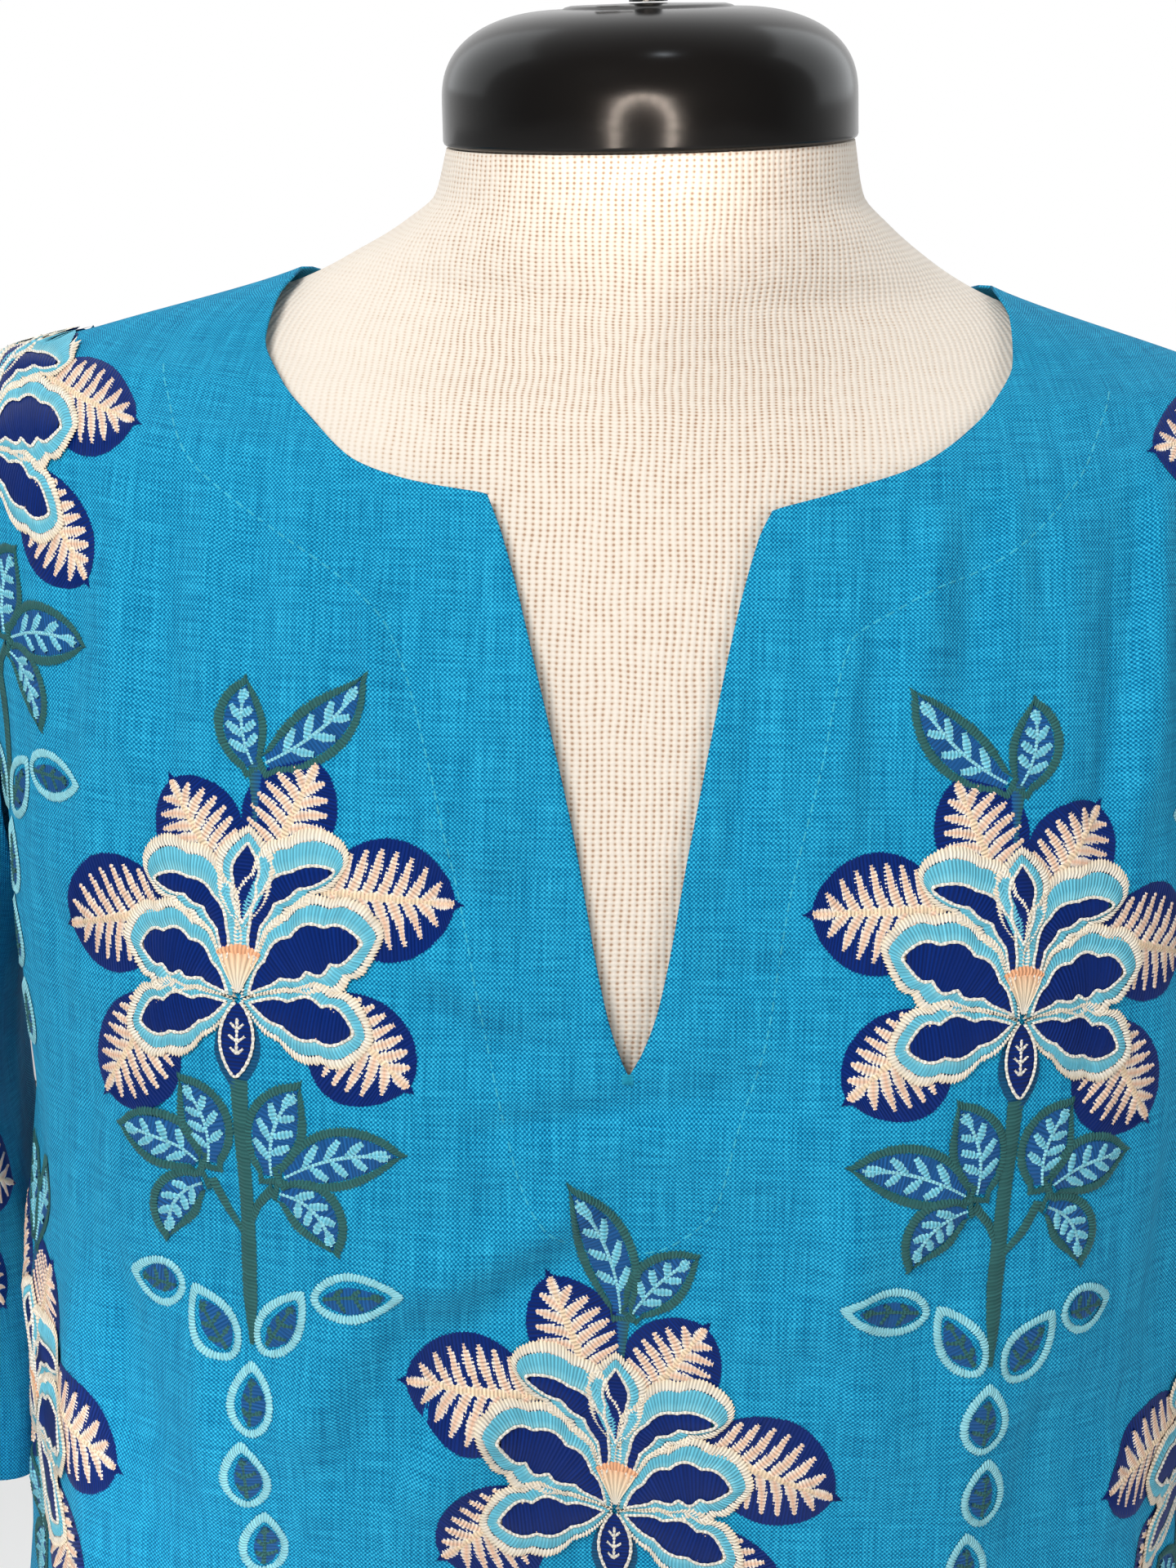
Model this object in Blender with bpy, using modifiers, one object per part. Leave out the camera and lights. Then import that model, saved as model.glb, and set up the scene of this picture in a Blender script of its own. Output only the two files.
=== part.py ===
"""Split-neck blouse on a limbless dress form with a neck cap, a pole and a round base.

The blouse is cloth walls: a front panel with a narrow V slit, a back panel and two set-in
sleeves that hang empty. The form, its cap and its stand are smooth solids inside and under it.
Z is up, the front faces -Y, and the origin is the middle of the base's underside.
All sizes are in millimetres and are turned into metres where a mesh is made.
"""
import math

import bmesh
import bpy
import numpy as np
from mathutils import Matrix, Vector

MM = 0.001

# Height of the form's neck above the floor
NECK_TOP = 892.0

# Stand
BASE_THICKNESS = 6.0
BASE_RADIUS = 145.0
BASE_BEVEL = 1.5
POLE_RADIUS = 14.0
COLLAR_RADIUS = 24.0
COLLAR_FLARE = 6.0
COLLAR_HEIGHT = 18.0
COLLAR_SLOPE = 4.0

# Cloth
CLOTH = 1.2
SEAM_GAP = 0.36
PART_GAP = 0.3
HEM_DROP = 641.0

# Levels of the cut, below the neck top
SLIT_END_DROP = 229.0
SHOULDER_POINT_DROP = 69.5
UNDERARM_DROP = 225.0

# Neck cap: its plate leans a little towards the wearer's right
CAP_LEAN = math.radians(2.8)
CAP_LEAN_DEPTH = 32.0
CAP_RADIUS = 58.0
CAP_HEIGHT = 38.0
CAP_TOP_RADIUS = 24.0
CAP_RIM_STEP = 1.4
CAP_WALL_SHARE = 0.42
CAP_ARC_STEPS = 10
POST_RADIUS = 4.0
POST_HEIGHT = 16.0
POST_BEVEL = 1.2
POST_FLANGE = 1.4
POST_FLANGE_HEIGHT = 0.9
SCREW_RADIUS = 2.6
SCREW_LENGTH = 11.0
SCREW_BEVEL = 0.6
SCREW_SHANK_RADIUS = 1.6
SCREW_SHANK_LENGTH = 3.6
SCREW_LEVEL = 6.6

# Level sections of the form and of the cloth's inner face.
# Columns: drop below the neck top, half width, front depth, back depth, squareness
# (2 is an ellipse, less is pointed at the sides, more is boxy)
FORM_ROWS = (
    (0.0, 57.0, 57.0, 57.0, 2.0),
    (14.0, 60.0, 59.0, 59.0, 2.0),
    (22.0, 68.0, 62.0, 62.0, 1.9),
    (30.0, 79.0, 64.0, 65.0, 1.7),
    (40.0, 97.0, 66.5, 66.0, 1.43),
    (55.5, 148.0, 72.0, 73.0, 1.30),
    (66.5, 181.0, 78.0, 83.0, 1.45),
    (81.0, 188.5, 87.0, 93.0, 1.8),
    (110.0, 185.0, 101.0, 104.0, 2.1),
    (150.0, 171.0, 114.0, 110.0, 2.3),
    (210.0, 156.0, 126.0, 112.0, 2.4),
    (270.0, 152.0, 131.0, 106.0, 2.4),
    (330.0, 141.0, 121.0, 97.0, 2.4),
    (390.0, 126.0, 106.0, 89.0, 2.3),
    (440.0, 119.0, 98.0, 87.0, 2.25),
    (500.0, 130.0, 103.0, 96.0, 2.25),
    (560.0, 150.0, 110.0, 110.0, 2.3),
    (640.0, 167.0, 115.0, 118.0, 2.35),
    (680.0, 166.0, 112.0, 114.0, 2.35),
    (700.0, 158.0, 104.0, 106.0, 2.35),
)
# Levels of the form's rings: first and last drop of each run, cells in it
FORM_LEVELS = (
    (0.0, 14.0, 2),
    (14.0, 38.0, 4),
    (38.0, 54.0, 3),
    (54.0, 71.0, 3),
    (71.0, 110.0, 3),
    (110.0, 150.0, 2),
    (150.0, 210.0, 2),
    (210.0, 290.0, 3),
    (290.0, 360.0, 2),
    (360.0, 640.0, 7),
    (640.0, 700.0, 2),
)
CLOTH_ROWS = (
    (35.5, 91.5, 69.5, 73.5, 1.72),
    (40.0, 101.8, 71.5, 77.5, 1.63),
    (55.5, 151.6, 76.0, 81.5, 1.39),
    (66.5, 184.2, 82.0, 88.5, 1.48),
    (81.0, 191.6, 91.8, 99.0, 1.83),
    (110.0, 190.5, 104.6, 107.6, 2.15),
    (150.0, 184.0, 118.0, 114.0, 2.5),
    (225.0, 173.0, 132.5, 117.5, 2.85),
    (270.0, 169.5, 137.5, 119.0, 2.9),
    (330.0, 170.0, 138.0, 121.0, 2.8),
    (416.0, 174.5, 137.5, 125.0, 2.65),
    (500.0, 182.5, 138.0, 130.0, 2.5),
    (600.0, 189.0, 139.0, 136.0, 2.4),
    (650.0, 192.5, 140.0, 139.0, 2.4),
)

# Front neckline from the slit's corner to the shoulder seam, which lies a little askew:
# distance from the middle and drop, on the wearer's right (-X) and left (+X)
HIGH_POINT_HALF = 97.0
NECKLINES = {
    -1: (
        (41.0, 86.0),
        (61.5, 83.7),
        (76.0, 79.8),
        (88.0, 71.5),
        (98.0, 62.5),
        (103.5, 53.5),
        (101.5, 43.5),
    ),
    1: (
        (33.5, 88.0),
        (57.0, 82.0),
        (71.5, 77.6),
        (84.5, 70.7),
        (93.5, 63.0),
        (99.5, 54.0),
        (100.0, 44.0),
    ),
}
# Slit edges: drop, distance from the middle on the wearer's right and left
SLIT_ROWS = (
    (86.0, 41.0, 34.5),
    (95.0, 37.0, 30.0),
    (125.0, 27.8, 22.6),
    (168.0, 16.3, 14.8),
    (212.0, 6.8, 7.4),
    (224.0, 2.8, 3.3),
    (229.0, 0.4, 0.4),
)
# Back neckline from the middle to the shoulder seam
BACK_NECKLINE_ROWS = (
    (0.0, 66.0),
    (35.0, 63.5),
    (65.0, 56.0),
    (86.0, 46.5),
)
# Armholes: drop, share of the way round (0 middle of the front, 1 side, 2 middle of the back)
FRONT_ARMHOLE_ROWS = (
    (69.5, 1.0),
    (81.0, 0.955),
    (105.0, 0.905),
    (150.0, 0.862),
    (190.0, 0.872),
    (215.0, 0.93),
    (225.0, 1.0),
)
BACK_ARMHOLE_ROWS = (
    (69.5, 1.0),
    (81.0, 1.05),
    (105.0, 1.105),
    (150.0, 1.148),
    (190.0, 1.135),
    (215.0, 1.07),
    (225.0, 1.0),
)

# Soft mounds of a general figure at the chest: across, drop, spread across, above, below, height
FORM_CHEST = (72.0, 262.0, 46.0, 62.0, 58.0, 9.0)
CLOTH_CHEST = (72.0, 268.0, 52.0, 75.0, 190.0, 7.0)

# Long folds of the body: side (+1 is the wearer's left), share and drop at the top,
# share and drop at the foot, half width, height (troughs are negative)
BODY_FOLDS = (
    (1, 0.60, 72.0, 0.64, 235.0, 13.0, -3.0),
    (1, 0.69, 78.0, 0.72, 215.0, 11.0, 1.6),
    (-1, 0.62, 78.0, 0.66, 205.0, 13.0, -1.8),
    (-1, 0.98, 240.0, 0.93, 420.0, 17.0, -3.0),
    (1, 0.97, 250.0, 0.92, 400.0, 17.0, -2.5),
    (1, 0.16, 395.0, 0.20, 641.0, 26.0, -4.5),
    (1, 0.42, 330.0, 0.45, 641.0, 30.0, 5.5),
    (1, 0.66, 300.0, 0.69, 641.0, 24.0, -6.0),
    (1, 0.88, 340.0, 0.90, 641.0, 26.0, 6.5),
    (-1, 0.12, 420.0, 0.14, 641.0, 24.0, 3.5),
    (-1, 0.34, 350.0, 0.37, 641.0, 25.0, -5.0),
    (-1, 0.57, 310.0, 0.60, 641.0, 28.0, 6.0),
    (-1, 0.80, 330.0, 0.83, 641.0, 24.0, -6.0),
    (1, 1.30, 150.0, 1.36, 420.0, 26.0, -4.0),
    (-1, 1.34, 140.0, 1.30, 400.0, 24.0, -4.5),
    (1, 1.12, 330.0, 1.10, 641.0, 24.0, -5.5),
    (1, 1.38, 330.0, 1.36, 641.0, 30.0, 6.5),
    (1, 1.66, 280.0, 1.63, 641.0, 26.0, -6.0),
    (1, 1.90, 320.0, 1.88, 641.0, 26.0, 5.5),
    (-1, 1.14, 320.0, 1.16, 641.0, 26.0, 5.5),
    (-1, 1.42, 300.0, 1.44, 641.0, 27.0, -6.0),
    (-1, 1.70, 330.0, 1.68, 641.0, 28.0, 6.5),
)

# Sleeve hem ring: distance of its middle from the blouse's middle, set back, drop,
# half width across, half width front to back, rise of its outer edge
SLEEVE_HEM = (214.5, 30.0, 391.0, 42.5, 67.0, 18.0)
# Folds of a sleeve: turn at the top and the foot (degrees from the outer edge, 90 is the front),
# start and end along the sleeve, half width in degrees, height
SLEEVE_FOLDS = (
    (40.0, 55.0, 0.12, 1.0, 17.0, -6.0),
    (95.0, 88.0, 0.30, 1.0, 16.0, 4.0),
    (128.0, 122.0, 0.35, 1.0, 15.0, -5.0),
    (232.0, 240.0, 0.25, 1.0, 17.0, -5.0),
    (275.0, 272.0, 0.35, 1.0, 16.0, 3.5),
    (318.0, 305.0, 0.10, 1.0, 17.0, -6.0),
    (5.0, 0.0, 0.05, 0.55, 22.0, 3.0),
)
# A sleeve starts a hair off the panels' edges, and outside their faces under the arm,
# where the tuck holds for so many degrees each side and fades over so many
SLEEVE_SEAM_STEP = 0.88
TUCK_HALF = 35.0
TUCK_FADE = 55.0
# How a sleeve leaves its armhole: out, forward and down, with what the outer edge adds
LEAVE_OUT = (0.60, 0.25)
LEAVE_FORWARD = -0.14
LEAVE_DOWN = (-0.70, 0.24)
ARRIVE = (0.05, 0.0, -1.0)
SLEEVE_START_REACH = 150.0
SLEEVE_END_REACH = 120.0
# Its least distance from the body's side, which it takes up below the underarm
SLEEVE_CLEARANCE = 3.1
SLEEVE_EASE_IN = 3.6
SLEEVE_EASE_DROP = 14.0

# Share of a fold's run in which it grows or fades
FOLD_GROWTH = 0.45

# Grid counts
FRONT_NECK_CELLS = 8
BACK_NECK_CELLS = 7
SHOULDER_CELLS = 8
ARMHOLE_CELLS = 11
ARMHOLE_CROWDING = 1.55
SIDE_CELLS = 13
SLEEVE_DOWN = 14
FORM_AROUND = 36
ROUND_STEPS = 36

MATERIALS = {
    "linen": ((0.010, 0.250, 0.440, 1.0), 0.85, 0.0),
    "knit": ((0.860, 0.790, 0.660, 1.0), 0.90, 0.0),
    "cap": ((0.020, 0.019, 0.020, 1.0), 0.25, 0.6),
    "hardware": ((0.030, 0.030, 0.032, 1.0), 0.30, 0.8),
    "stand": ((0.035, 0.035, 0.038, 1.0), 0.35, 0.8),
}


def clear_scene():
    for thing in list(bpy.data.objects):
        bpy.data.objects.remove(thing, do_unlink=True)


def smooth_curve(xs, ys):
    """Cubic through the points that never swings past them."""
    xs = np.asarray(xs, float)
    ys = np.asarray(ys, float)
    step = np.diff(xs)
    slope = np.diff(ys) / step
    tangent = np.empty_like(ys)
    tangent[0] = slope[0]
    tangent[-1] = slope[-1]
    before, after = slope[:-1], slope[1:]
    total = np.where(before * after > 0, before + after, 1.0)
    tangent[1:-1] = np.where(before * after > 0, 2.0 * before * after / total, 0.0)

    def at(x):
        x = min(max(x, xs[0]), xs[-1])
        i = min(int(np.searchsorted(xs, x, side="right")) - 1, len(step) - 1)
        u = (x - xs[i]) / step[i]
        start = ys[i] * (1 + 2 * u) * (1 - u) ** 2 + tangent[i] * step[i] * u * (1 - u) ** 2
        end = ys[i + 1] * u * u * (3 - 2 * u) + tangent[i + 1] * step[i] * u * u * (u - 1)
        return start + end

    return at


def ease(x):
    """Smooth step from 0 to 1."""
    x = min(max(x, 0.0), 1.0)
    return x * x * (3.0 - 2.0 * x)


class Figure:
    """A body of level sections, each a rounded oval with its own front and back depth."""

    STEPS = np.linspace(0.0, math.pi / 2.0, 91)

    def __init__(self, rows, chest):
        drops = [row[0] for row in rows]
        self.side = smooth_curve(drops, [row[1] for row in rows])
        self.front = smooth_curve(drops, [row[2] for row in rows])
        self.back = smooth_curve(drops, [row[3] for row in rows])
        self.square = smooth_curve(drops, [row[4] for row in rows])
        self.chest = chest
        self.known = {}

    def quarter(self, drop, behind):
        """One quarter of a section from the middle to the side: across, depth, length so far."""
        key = (round(drop, 6), behind)
        if key not in self.known:
            power = 2.0 / self.square(drop)
            depth = self.back(drop) if behind else self.front(drop)
            across = self.side(drop) * np.sin(self.STEPS) ** power
            away = depth * np.abs(np.cos(self.STEPS)) ** power
            away[-1] = 0.0
            run = np.concatenate(([0.0], np.cumsum(np.hypot(np.diff(across), np.diff(away)))))
            self.known[key] = (across, away, run)
        return self.known[key]

    def mound(self, across, away, drop):
        """Rise of the chest, gone where the section turns to the side."""
        middle, level, spread, above, below, height = self.chest
        reach = above if drop < level else below
        sideways = math.exp(-((abs(across) - middle) / spread) ** 2)
        forward = ease(away / (0.5 * self.front(drop)))
        return height * forward * sideways * math.exp(-((drop - level) / reach) ** 2)

    def length(self, drop, behind=False):
        return self.quarter(drop, behind)[2][-1]

    def length_at(self, drop, across, behind):
        """Length round a section from its middle to a distance from the middle plane."""
        xs, _, run = self.quarter(drop, behind)
        return float(np.interp(across, xs, run))

    def point(self, share, drop, lift=0.0):
        """Point at a signed share round the section, moved out level by lift."""
        side = -1.0 if share < 0 else 1.0
        share = abs(share)
        behind = share > 1.0
        part = 2.0 - share if behind else share
        xs, ys, run = self.quarter(drop, behind)
        length = part * run[-1]
        x = float(np.interp(length, run, xs))
        y = float(np.interp(length, run, ys))
        near = float(np.interp(length - 0.5, run, xs)), float(np.interp(length - 0.5, run, ys))
        far = float(np.interp(length + 0.5, run, xs)), float(np.interp(length + 0.5, run, ys))
        normal = Vector((near[1] - far[1], far[0] - near[0])).normalized()
        x += normal.x * lift
        y += normal.y * lift
        if not behind:
            y += self.mound(x, y, drop)
        return Vector((side * x, y if behind else -y, NECK_TOP - drop))


FORM = Figure(FORM_ROWS, FORM_CHEST)
BODICE = Figure(CLOTH_ROWS, CLOTH_CHEST)


def fold_window(place, start, end, edge):
    """A fold grows over the first part of its run, and fades at its end unless that is an edge."""
    reach = FOLD_GROWTH * (end - start)
    grown = ease((place - start) / reach)
    return grown if end >= edge else grown * ease((end - place) / reach)


def body_lift(share, drop):
    """How far the long folds lift the cloth at a place."""
    side = -1 if share < 0 else 1
    length = 0.5 * (BODICE.length(drop) + BODICE.length(drop, True))
    lift = 0.0
    for fold_side, top, start, low, foot, width, height in BODY_FOLDS:
        if not start < drop <= foot:
            continue
        along = (drop - start) / (foot - start)
        middle = top + (low - top) * along
        gap = abs(share) - middle
        if fold_side != side:
            # a fold by the middle of a panel reaches over to its other half
            gap = abs(share) + middle if middle < 1.0 else 4.0 - abs(share) - middle
        grown = fold_window(drop, start, foot, HEM_DROP)
        lift += height * grown * math.exp(-((gap * length) / width) ** 2)
    return lift


def cloth_point(share, drop):
    return BODICE.point(share, drop, body_lift(share, drop))


SLIT_EDGES = {
    side: smooth_curve([row[0] for row in SLIT_ROWS], [row[column] for row in SLIT_ROWS])
    for side, column in ((-1, 1), (1, 2))
}


def slit_half(side, drop):
    """Distance of one slit edge from the middle, none below the slit's foot."""
    if drop >= SLIT_END_DROP:
        return 0.0
    corner, corner_drop = NECKLINES[side][0]
    return corner if drop <= corner_drop else SLIT_EDGES[side](drop)


def armhole_curve(rows):
    return smooth_curve([row[0] for row in rows], [row[1] for row in rows])


FRONT_ARMHOLE = armhole_curve(FRONT_ARMHOLE_ROWS)
BACK_ARMHOLE = armhole_curve(BACK_ARMHOLE_ROWS)


def panel_edge(drop, behind):
    """Length from a panel's middle to its armhole or side seam, and a constant above them."""
    level = max(drop, SHOULDER_POINT_DROP)
    length = BODICE.length(level, behind)
    seam = 0.5 * SEAM_GAP
    share = 1.0
    if level < UNDERARM_DROP:
        share = 2.0 - BACK_ARMHOLE(level) if behind else FRONT_ARMHOLE(level)
    return min(share * length, length - seam)


def ridge_drop(across):
    """Drop of the shoulder seam at a distance from the middle."""
    low, high = CLOTH_ROWS[0][0], SHOULDER_POINT_DROP
    for _ in range(40):
        middle = 0.5 * (low + high)
        if BODICE.side(middle) < across:
            low = middle
        else:
            high = middle
    return high


def along_rows(rows, cells):
    """Even steps along a table's smooth curve."""
    first = [row[0] for row in rows]
    second = [row[1] for row in rows]
    knots = np.concatenate(([0.0], np.cumsum(np.hypot(np.diff(first), np.diff(second)))))
    one = smooth_curve(knots, first)
    two = smooth_curve(knots, second)
    return [(one(s), two(s)) for s in np.linspace(0.0, knots[-1], cells + 1)]


def top_edge(side, behind):
    """A panel's top edge as (length from the middle, drop): neckline, then shoulder seam."""
    rows = BACK_NECKLINE_ROWS if behind else NECKLINES[side]
    neck_cells = BACK_NECK_CELLS if behind else FRONT_NECK_CELLS
    seam = 0.5 * SEAM_GAP
    high = ridge_drop(HIGH_POINT_HALF)
    edge = []
    for across, drop in along_rows(rows + ((HIGH_POINT_HALF, high),), neck_cells)[:-1]:
        edge.append((BODICE.length_at(drop, across, behind), drop))
    for drop in np.linspace(high, SHOULDER_POINT_DROP, SHOULDER_CELLS + 1):
        edge.append((BODICE.length(drop, behind) - seam, drop))
    return edge


def down_steps():
    """Shares of the way from a panel's top edge to the hem, with one at the underarm."""
    armhole = (UNDERARM_DROP - SHOULDER_POINT_DROP) / (HEM_DROP - SHOULDER_POINT_DROP)
    steps = [armhole * (k / ARMHOLE_CELLS) ** ARMHOLE_CROWDING for k in range(ARMHOLE_CELLS)]
    return steps + [float(v) for v in np.linspace(armhole, 1.0, SIDE_CELLS + 1)]


def panel_grid(side, behind):
    """Grid of (signed share, drop) from a panel's top edge to the hem, over one half."""
    edge = top_edge(side, behind)
    columns = len(edge) - 1
    grid = []
    for down in down_steps():
        line = []
        for column, (top_length, top_drop) in enumerate(edge):
            drop = top_drop + (HEM_DROP - top_drop) * down
            inner_top = inner = 0.0
            if not behind:
                inner_top = BODICE.length_at(top_drop, slit_half(side, top_drop), False)
                inner = BODICE.length_at(drop, slit_half(side, drop), False)
            outer_top = panel_edge(top_drop, behind)
            top_weight = (top_length - inner_top) / (outer_top - inner_top)
            weight = top_weight * (1.0 - down) + column / columns * down
            length = inner + (panel_edge(drop, behind) - inner) * weight
            share = min(length / BODICE.length(drop, behind), 1.0)
            line.append((side * (2.0 - share if behind else share), drop))
        grid.append(line)
    return grid


def add_object(name, mesh, material, collection):
    thing = bpy.data.objects.new(name, mesh)
    mesh.materials.append(material)
    collection.objects.link(thing)
    return thing


def smooth_shade(mesh, angle=60.0):
    mesh.shade_smooth()
    mesh.set_sharp_from_angle(angle=math.radians(angle))


def cloth_wall(name, points, faces, material, collection):
    """Open surface with its faces pointing out, thickened outward into a wall."""
    mesh = bpy.data.meshes.new(name)
    mesh.from_pydata([tuple(p * MM) for p in points], [], faces)
    mesh.update()
    smooth_shade(mesh)
    thing = add_object(name, mesh, material, collection)
    wall = thing.modifiers.new("wall", "SOLIDIFY")
    wall.thickness = CLOTH * MM
    wall.offset = 1.0
    wall.use_even_offset = False
    return thing


def build_front(material, collection):
    """One panel: two halves that are joined below the slit."""
    points = []
    index = {}
    for side in (-1, 1):
        for r, line in enumerate(panel_grid(side, False)):
            for c, (share, drop) in enumerate(line):
                if side > 0 and c == 0 and drop >= SLIT_END_DROP:
                    index[side, r, c] = index[-1, r, c]
                    continue
                index[side, r, c] = len(points)
                points.append(cloth_point(share, drop))
    rows = ARMHOLE_CELLS + SIDE_CELLS
    columns = FRONT_NECK_CELLS + SHOULDER_CELLS
    faces = []
    for side in (-1, 1):
        for r in range(rows):
            for c in range(columns):
                corners = [(r, c), (r + 1, c), (r + 1, c + 1), (r, c + 1)]
                if side < 0:
                    corners.reverse()
                faces.append([index[side, a, b] for a, b in corners])
    return cloth_wall("blouse_front", points, faces, material, collection)


def build_back(material, collection):
    """One panel, from the left side seam round the back to the right one."""
    points = []
    grid = panel_grid(1, True)
    for line in grid:
        points += [cloth_point(share, drop) for share, drop in reversed(line)]
        points += [cloth_point(-share, drop) for share, drop in line[1:]]
    width = len(points) // len(grid)
    faces = []
    for r in range(len(grid) - 1):
        for c in range(width - 1):
            a = r * width + c
            faces.append([a, a + width, a + width + 1, a + 1])
    return cloth_wall("blouse_back", points, faces, material, collection)


def armhole_ring(side):
    """An armhole's points, from the shoulder point by the front and the back again."""
    front = panel_grid(side, False)[:ARMHOLE_CELLS + 1]
    back = panel_grid(side, True)[1:ARMHOLE_CELLS]
    ends = [line[-1] for line in front] + [line[-1] for line in reversed(back)]
    return [cloth_point(share, drop) for share, drop in ends]


def ring_turns(ring):
    """Turn of each point of the armhole in degrees: 0 at the shoulder, 180 at the underarm."""
    closed = ring + [ring[0]]
    run = np.concatenate(([0.0], np.cumsum([(b - a).length for a, b in zip(closed, closed[1:])])))
    low = run[ARMHOLE_CELLS]
    turns = []
    for k in range(len(ring)):
        if k <= ARMHOLE_CELLS:
            turns.append(180.0 * run[k] / low)
        else:
            turns.append(180.0 + 180.0 * (run[k] - low) / (run[-1] - low))
    return turns


def sleeve_fold(turn, along):
    """Lift of the sleeve's long folds, with turn in degrees."""
    lift = 0.0
    for top, low, start, end, width, height in SLEEVE_FOLDS:
        if not start < along <= end:
            continue
        middle = top + (low - top) * along
        gap = (turn - middle + 180.0) % 360.0 - 180.0
        lift += height * fold_window(along, start, end, 1.0) * math.exp(-(gap / width) ** 2)
    return lift


def clear_of_body(point):
    """Keep a sleeve point just outside the body's side."""
    drop = NECK_TOP - point.z
    if drop < UNDERARM_DROP:
        return point
    behind = point.y > 0
    across, away, _ = BODICE.quarter(drop, behind)
    depth = abs(point.y)
    if depth > away[0]:
        return point
    eased = 1.0 - ease((drop - UNDERARM_DROP) / SLEEVE_EASE_DROP)
    limit = float(np.interp(depth, away[::-1], across[::-1])) + 2.0 * CLOTH
    point.x = max(point.x, limit + SLEEVE_CLEARANCE - SLEEVE_EASE_IN * eased)
    return point


def sleeve_point(start, turn, along):
    """Point on the left sleeve's inner face: a curve from the armhole down to the hem ring."""
    middle, set_back, hem_drop, half_across, half_deep, rise = SLEEVE_HEM
    angle = math.radians(turn)
    outer = math.cos(angle)
    forward = math.sin(angle)
    end = Vector((
        middle + half_across * outer,
        set_back - half_deep * forward,
        NECK_TOP - hem_drop + rise * outer,
    ))
    leave = Vector((
        LEAVE_OUT[0] + LEAVE_OUT[1] * outer,
        LEAVE_FORWARD * forward,
        LEAVE_DOWN[0] + LEAVE_DOWN[1] * outer,
    )).normalized()
    arrive = Vector(ARRIVE).normalized()
    t = along
    spot = start * (1 + 2 * t) * (1 - t) ** 2
    spot += leave * SLEEVE_START_REACH * t * (1 - t) ** 2
    spot += end * t * t * (3 - 2 * t)
    spot += arrive * SLEEVE_END_REACH * t * t * (t - 1)
    outward = Vector((outer * half_deep, -forward * half_across, 0.0)).normalized()
    spot += outward * sleeve_fold(turn, along)
    return clear_of_body(spot)


def build_sleeve(name, side, material, collection):
    """Empty tube that hangs from the armhole, side +1 on the wearer's left."""
    ring = [Vector((side * p.x, p.y, p.z)) for p in armhole_ring(side)]
    turns = ring_turns(ring)
    points = []
    for row in range(SLEEVE_DOWN + 1):
        for turn, corner in zip(turns, ring):
            under = ease((TUCK_HALF + TUCK_FADE - abs(turn - 180.0)) / TUCK_FADE)
            gap = SLEEVE_SEAM_STEP + under * 2.0 * CLOTH
            start = corner + Vector((gap, 0.0, 0.0))
            spot = sleeve_point(start, turn, row / SLEEVE_DOWN)
            points.append(Vector((side * spot.x, spot.y, spot.z)))
    around = len(ring)
    faces = []
    for row in range(SLEEVE_DOWN):
        for k in range(around):
            a = row * around + k
            b = row * around + (k + 1) % around
            face = [a, b, b + around, a + around]
            if side > 0:
                face.reverse()
            faces.append(face)
    return cloth_wall(name, points, faces, material, collection)


def build_form(material, collection):
    """The limbless torso: rings of one oval each, closed at the neck and at the foot."""
    drops = [FORM_LEVELS[0][0]]
    for first, last, cells in FORM_LEVELS:
        drops += [float(v) for v in np.linspace(first, last, cells + 1)[1:]]
    frame = bmesh.new()
    rings = []
    for drop in drops:
        ring = []
        lean = max(0.0, 1.0 - drop / CAP_LEAN_DEPTH) * math.tan(CAP_LEAN)
        for k in range(FORM_AROUND):
            share = 4.0 * k / FORM_AROUND
            share = share if share <= 2.0 else share - 4.0
            spot = FORM.point(share, drop)
            spot.z += spot.x * lean
            ring.append(frame.verts.new(spot * MM))
        rings.append(ring)
    for upper, lower in zip(rings, rings[1:]):
        for k in range(FORM_AROUND):
            n = (k + 1) % FORM_AROUND
            frame.faces.new((upper[k], lower[k], lower[n], upper[n]))
    frame.faces.new(rings[0])
    frame.faces.new(list(reversed(rings[-1])))
    bmesh.ops.recalc_face_normals(frame, faces=frame.faces)
    mesh = bpy.data.meshes.new("form_torso")
    frame.to_mesh(mesh)
    frame.free()
    smooth_shade(mesh, 50.0)
    return add_object("form_torso", mesh, material, collection)


def turned(name, profile, steps, place, material, collection):
    """Solid of revolution from an (outward, up) profile that starts and ends on the axis."""
    mesh = bpy.data.meshes.new(name)
    points = [(r * MM, 0.0, z * MM) for r, z in profile]
    mesh.from_pydata(points, [(i, i + 1) for i in range(len(points) - 1)], [])
    thing = add_object(name, mesh, material, collection)
    spin = thing.modifiers.new("turn", "SCREW")
    spin.steps = steps
    spin.render_steps = steps
    spin.use_merge_vertices = True
    spin.merge_threshold = 0.00005
    thing.matrix_world = place
    return thing


def cap_profile():
    """Flattened dome: an upright wall, a round shoulder, and a flat top with a small step."""
    wall = CAP_WALL_SHARE * CAP_HEIGHT
    crown = CAP_HEIGHT - CAP_RIM_STEP
    top = CAP_TOP_RADIUS - CAP_RIM_STEP
    profile = [(0.0, CAP_HEIGHT), (top, CAP_HEIGHT - 0.5 * CAP_RIM_STEP), (CAP_TOP_RADIUS, crown)]
    for step in range(1, CAP_ARC_STEPS + 1):
        angle = 0.5 * math.pi * (1.0 - step / CAP_ARC_STEPS)
        across = CAP_TOP_RADIUS + (CAP_RADIUS - CAP_TOP_RADIUS) * math.cos(angle) ** 0.92
        profile.append((across, wall + (crown - wall) * math.sin(angle) ** 0.80))
    profile += [(CAP_RADIUS, CAP_RIM_STEP), (CAP_RADIUS - CAP_RIM_STEP, 0.0), (0.0, 0.0)]
    return profile


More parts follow.
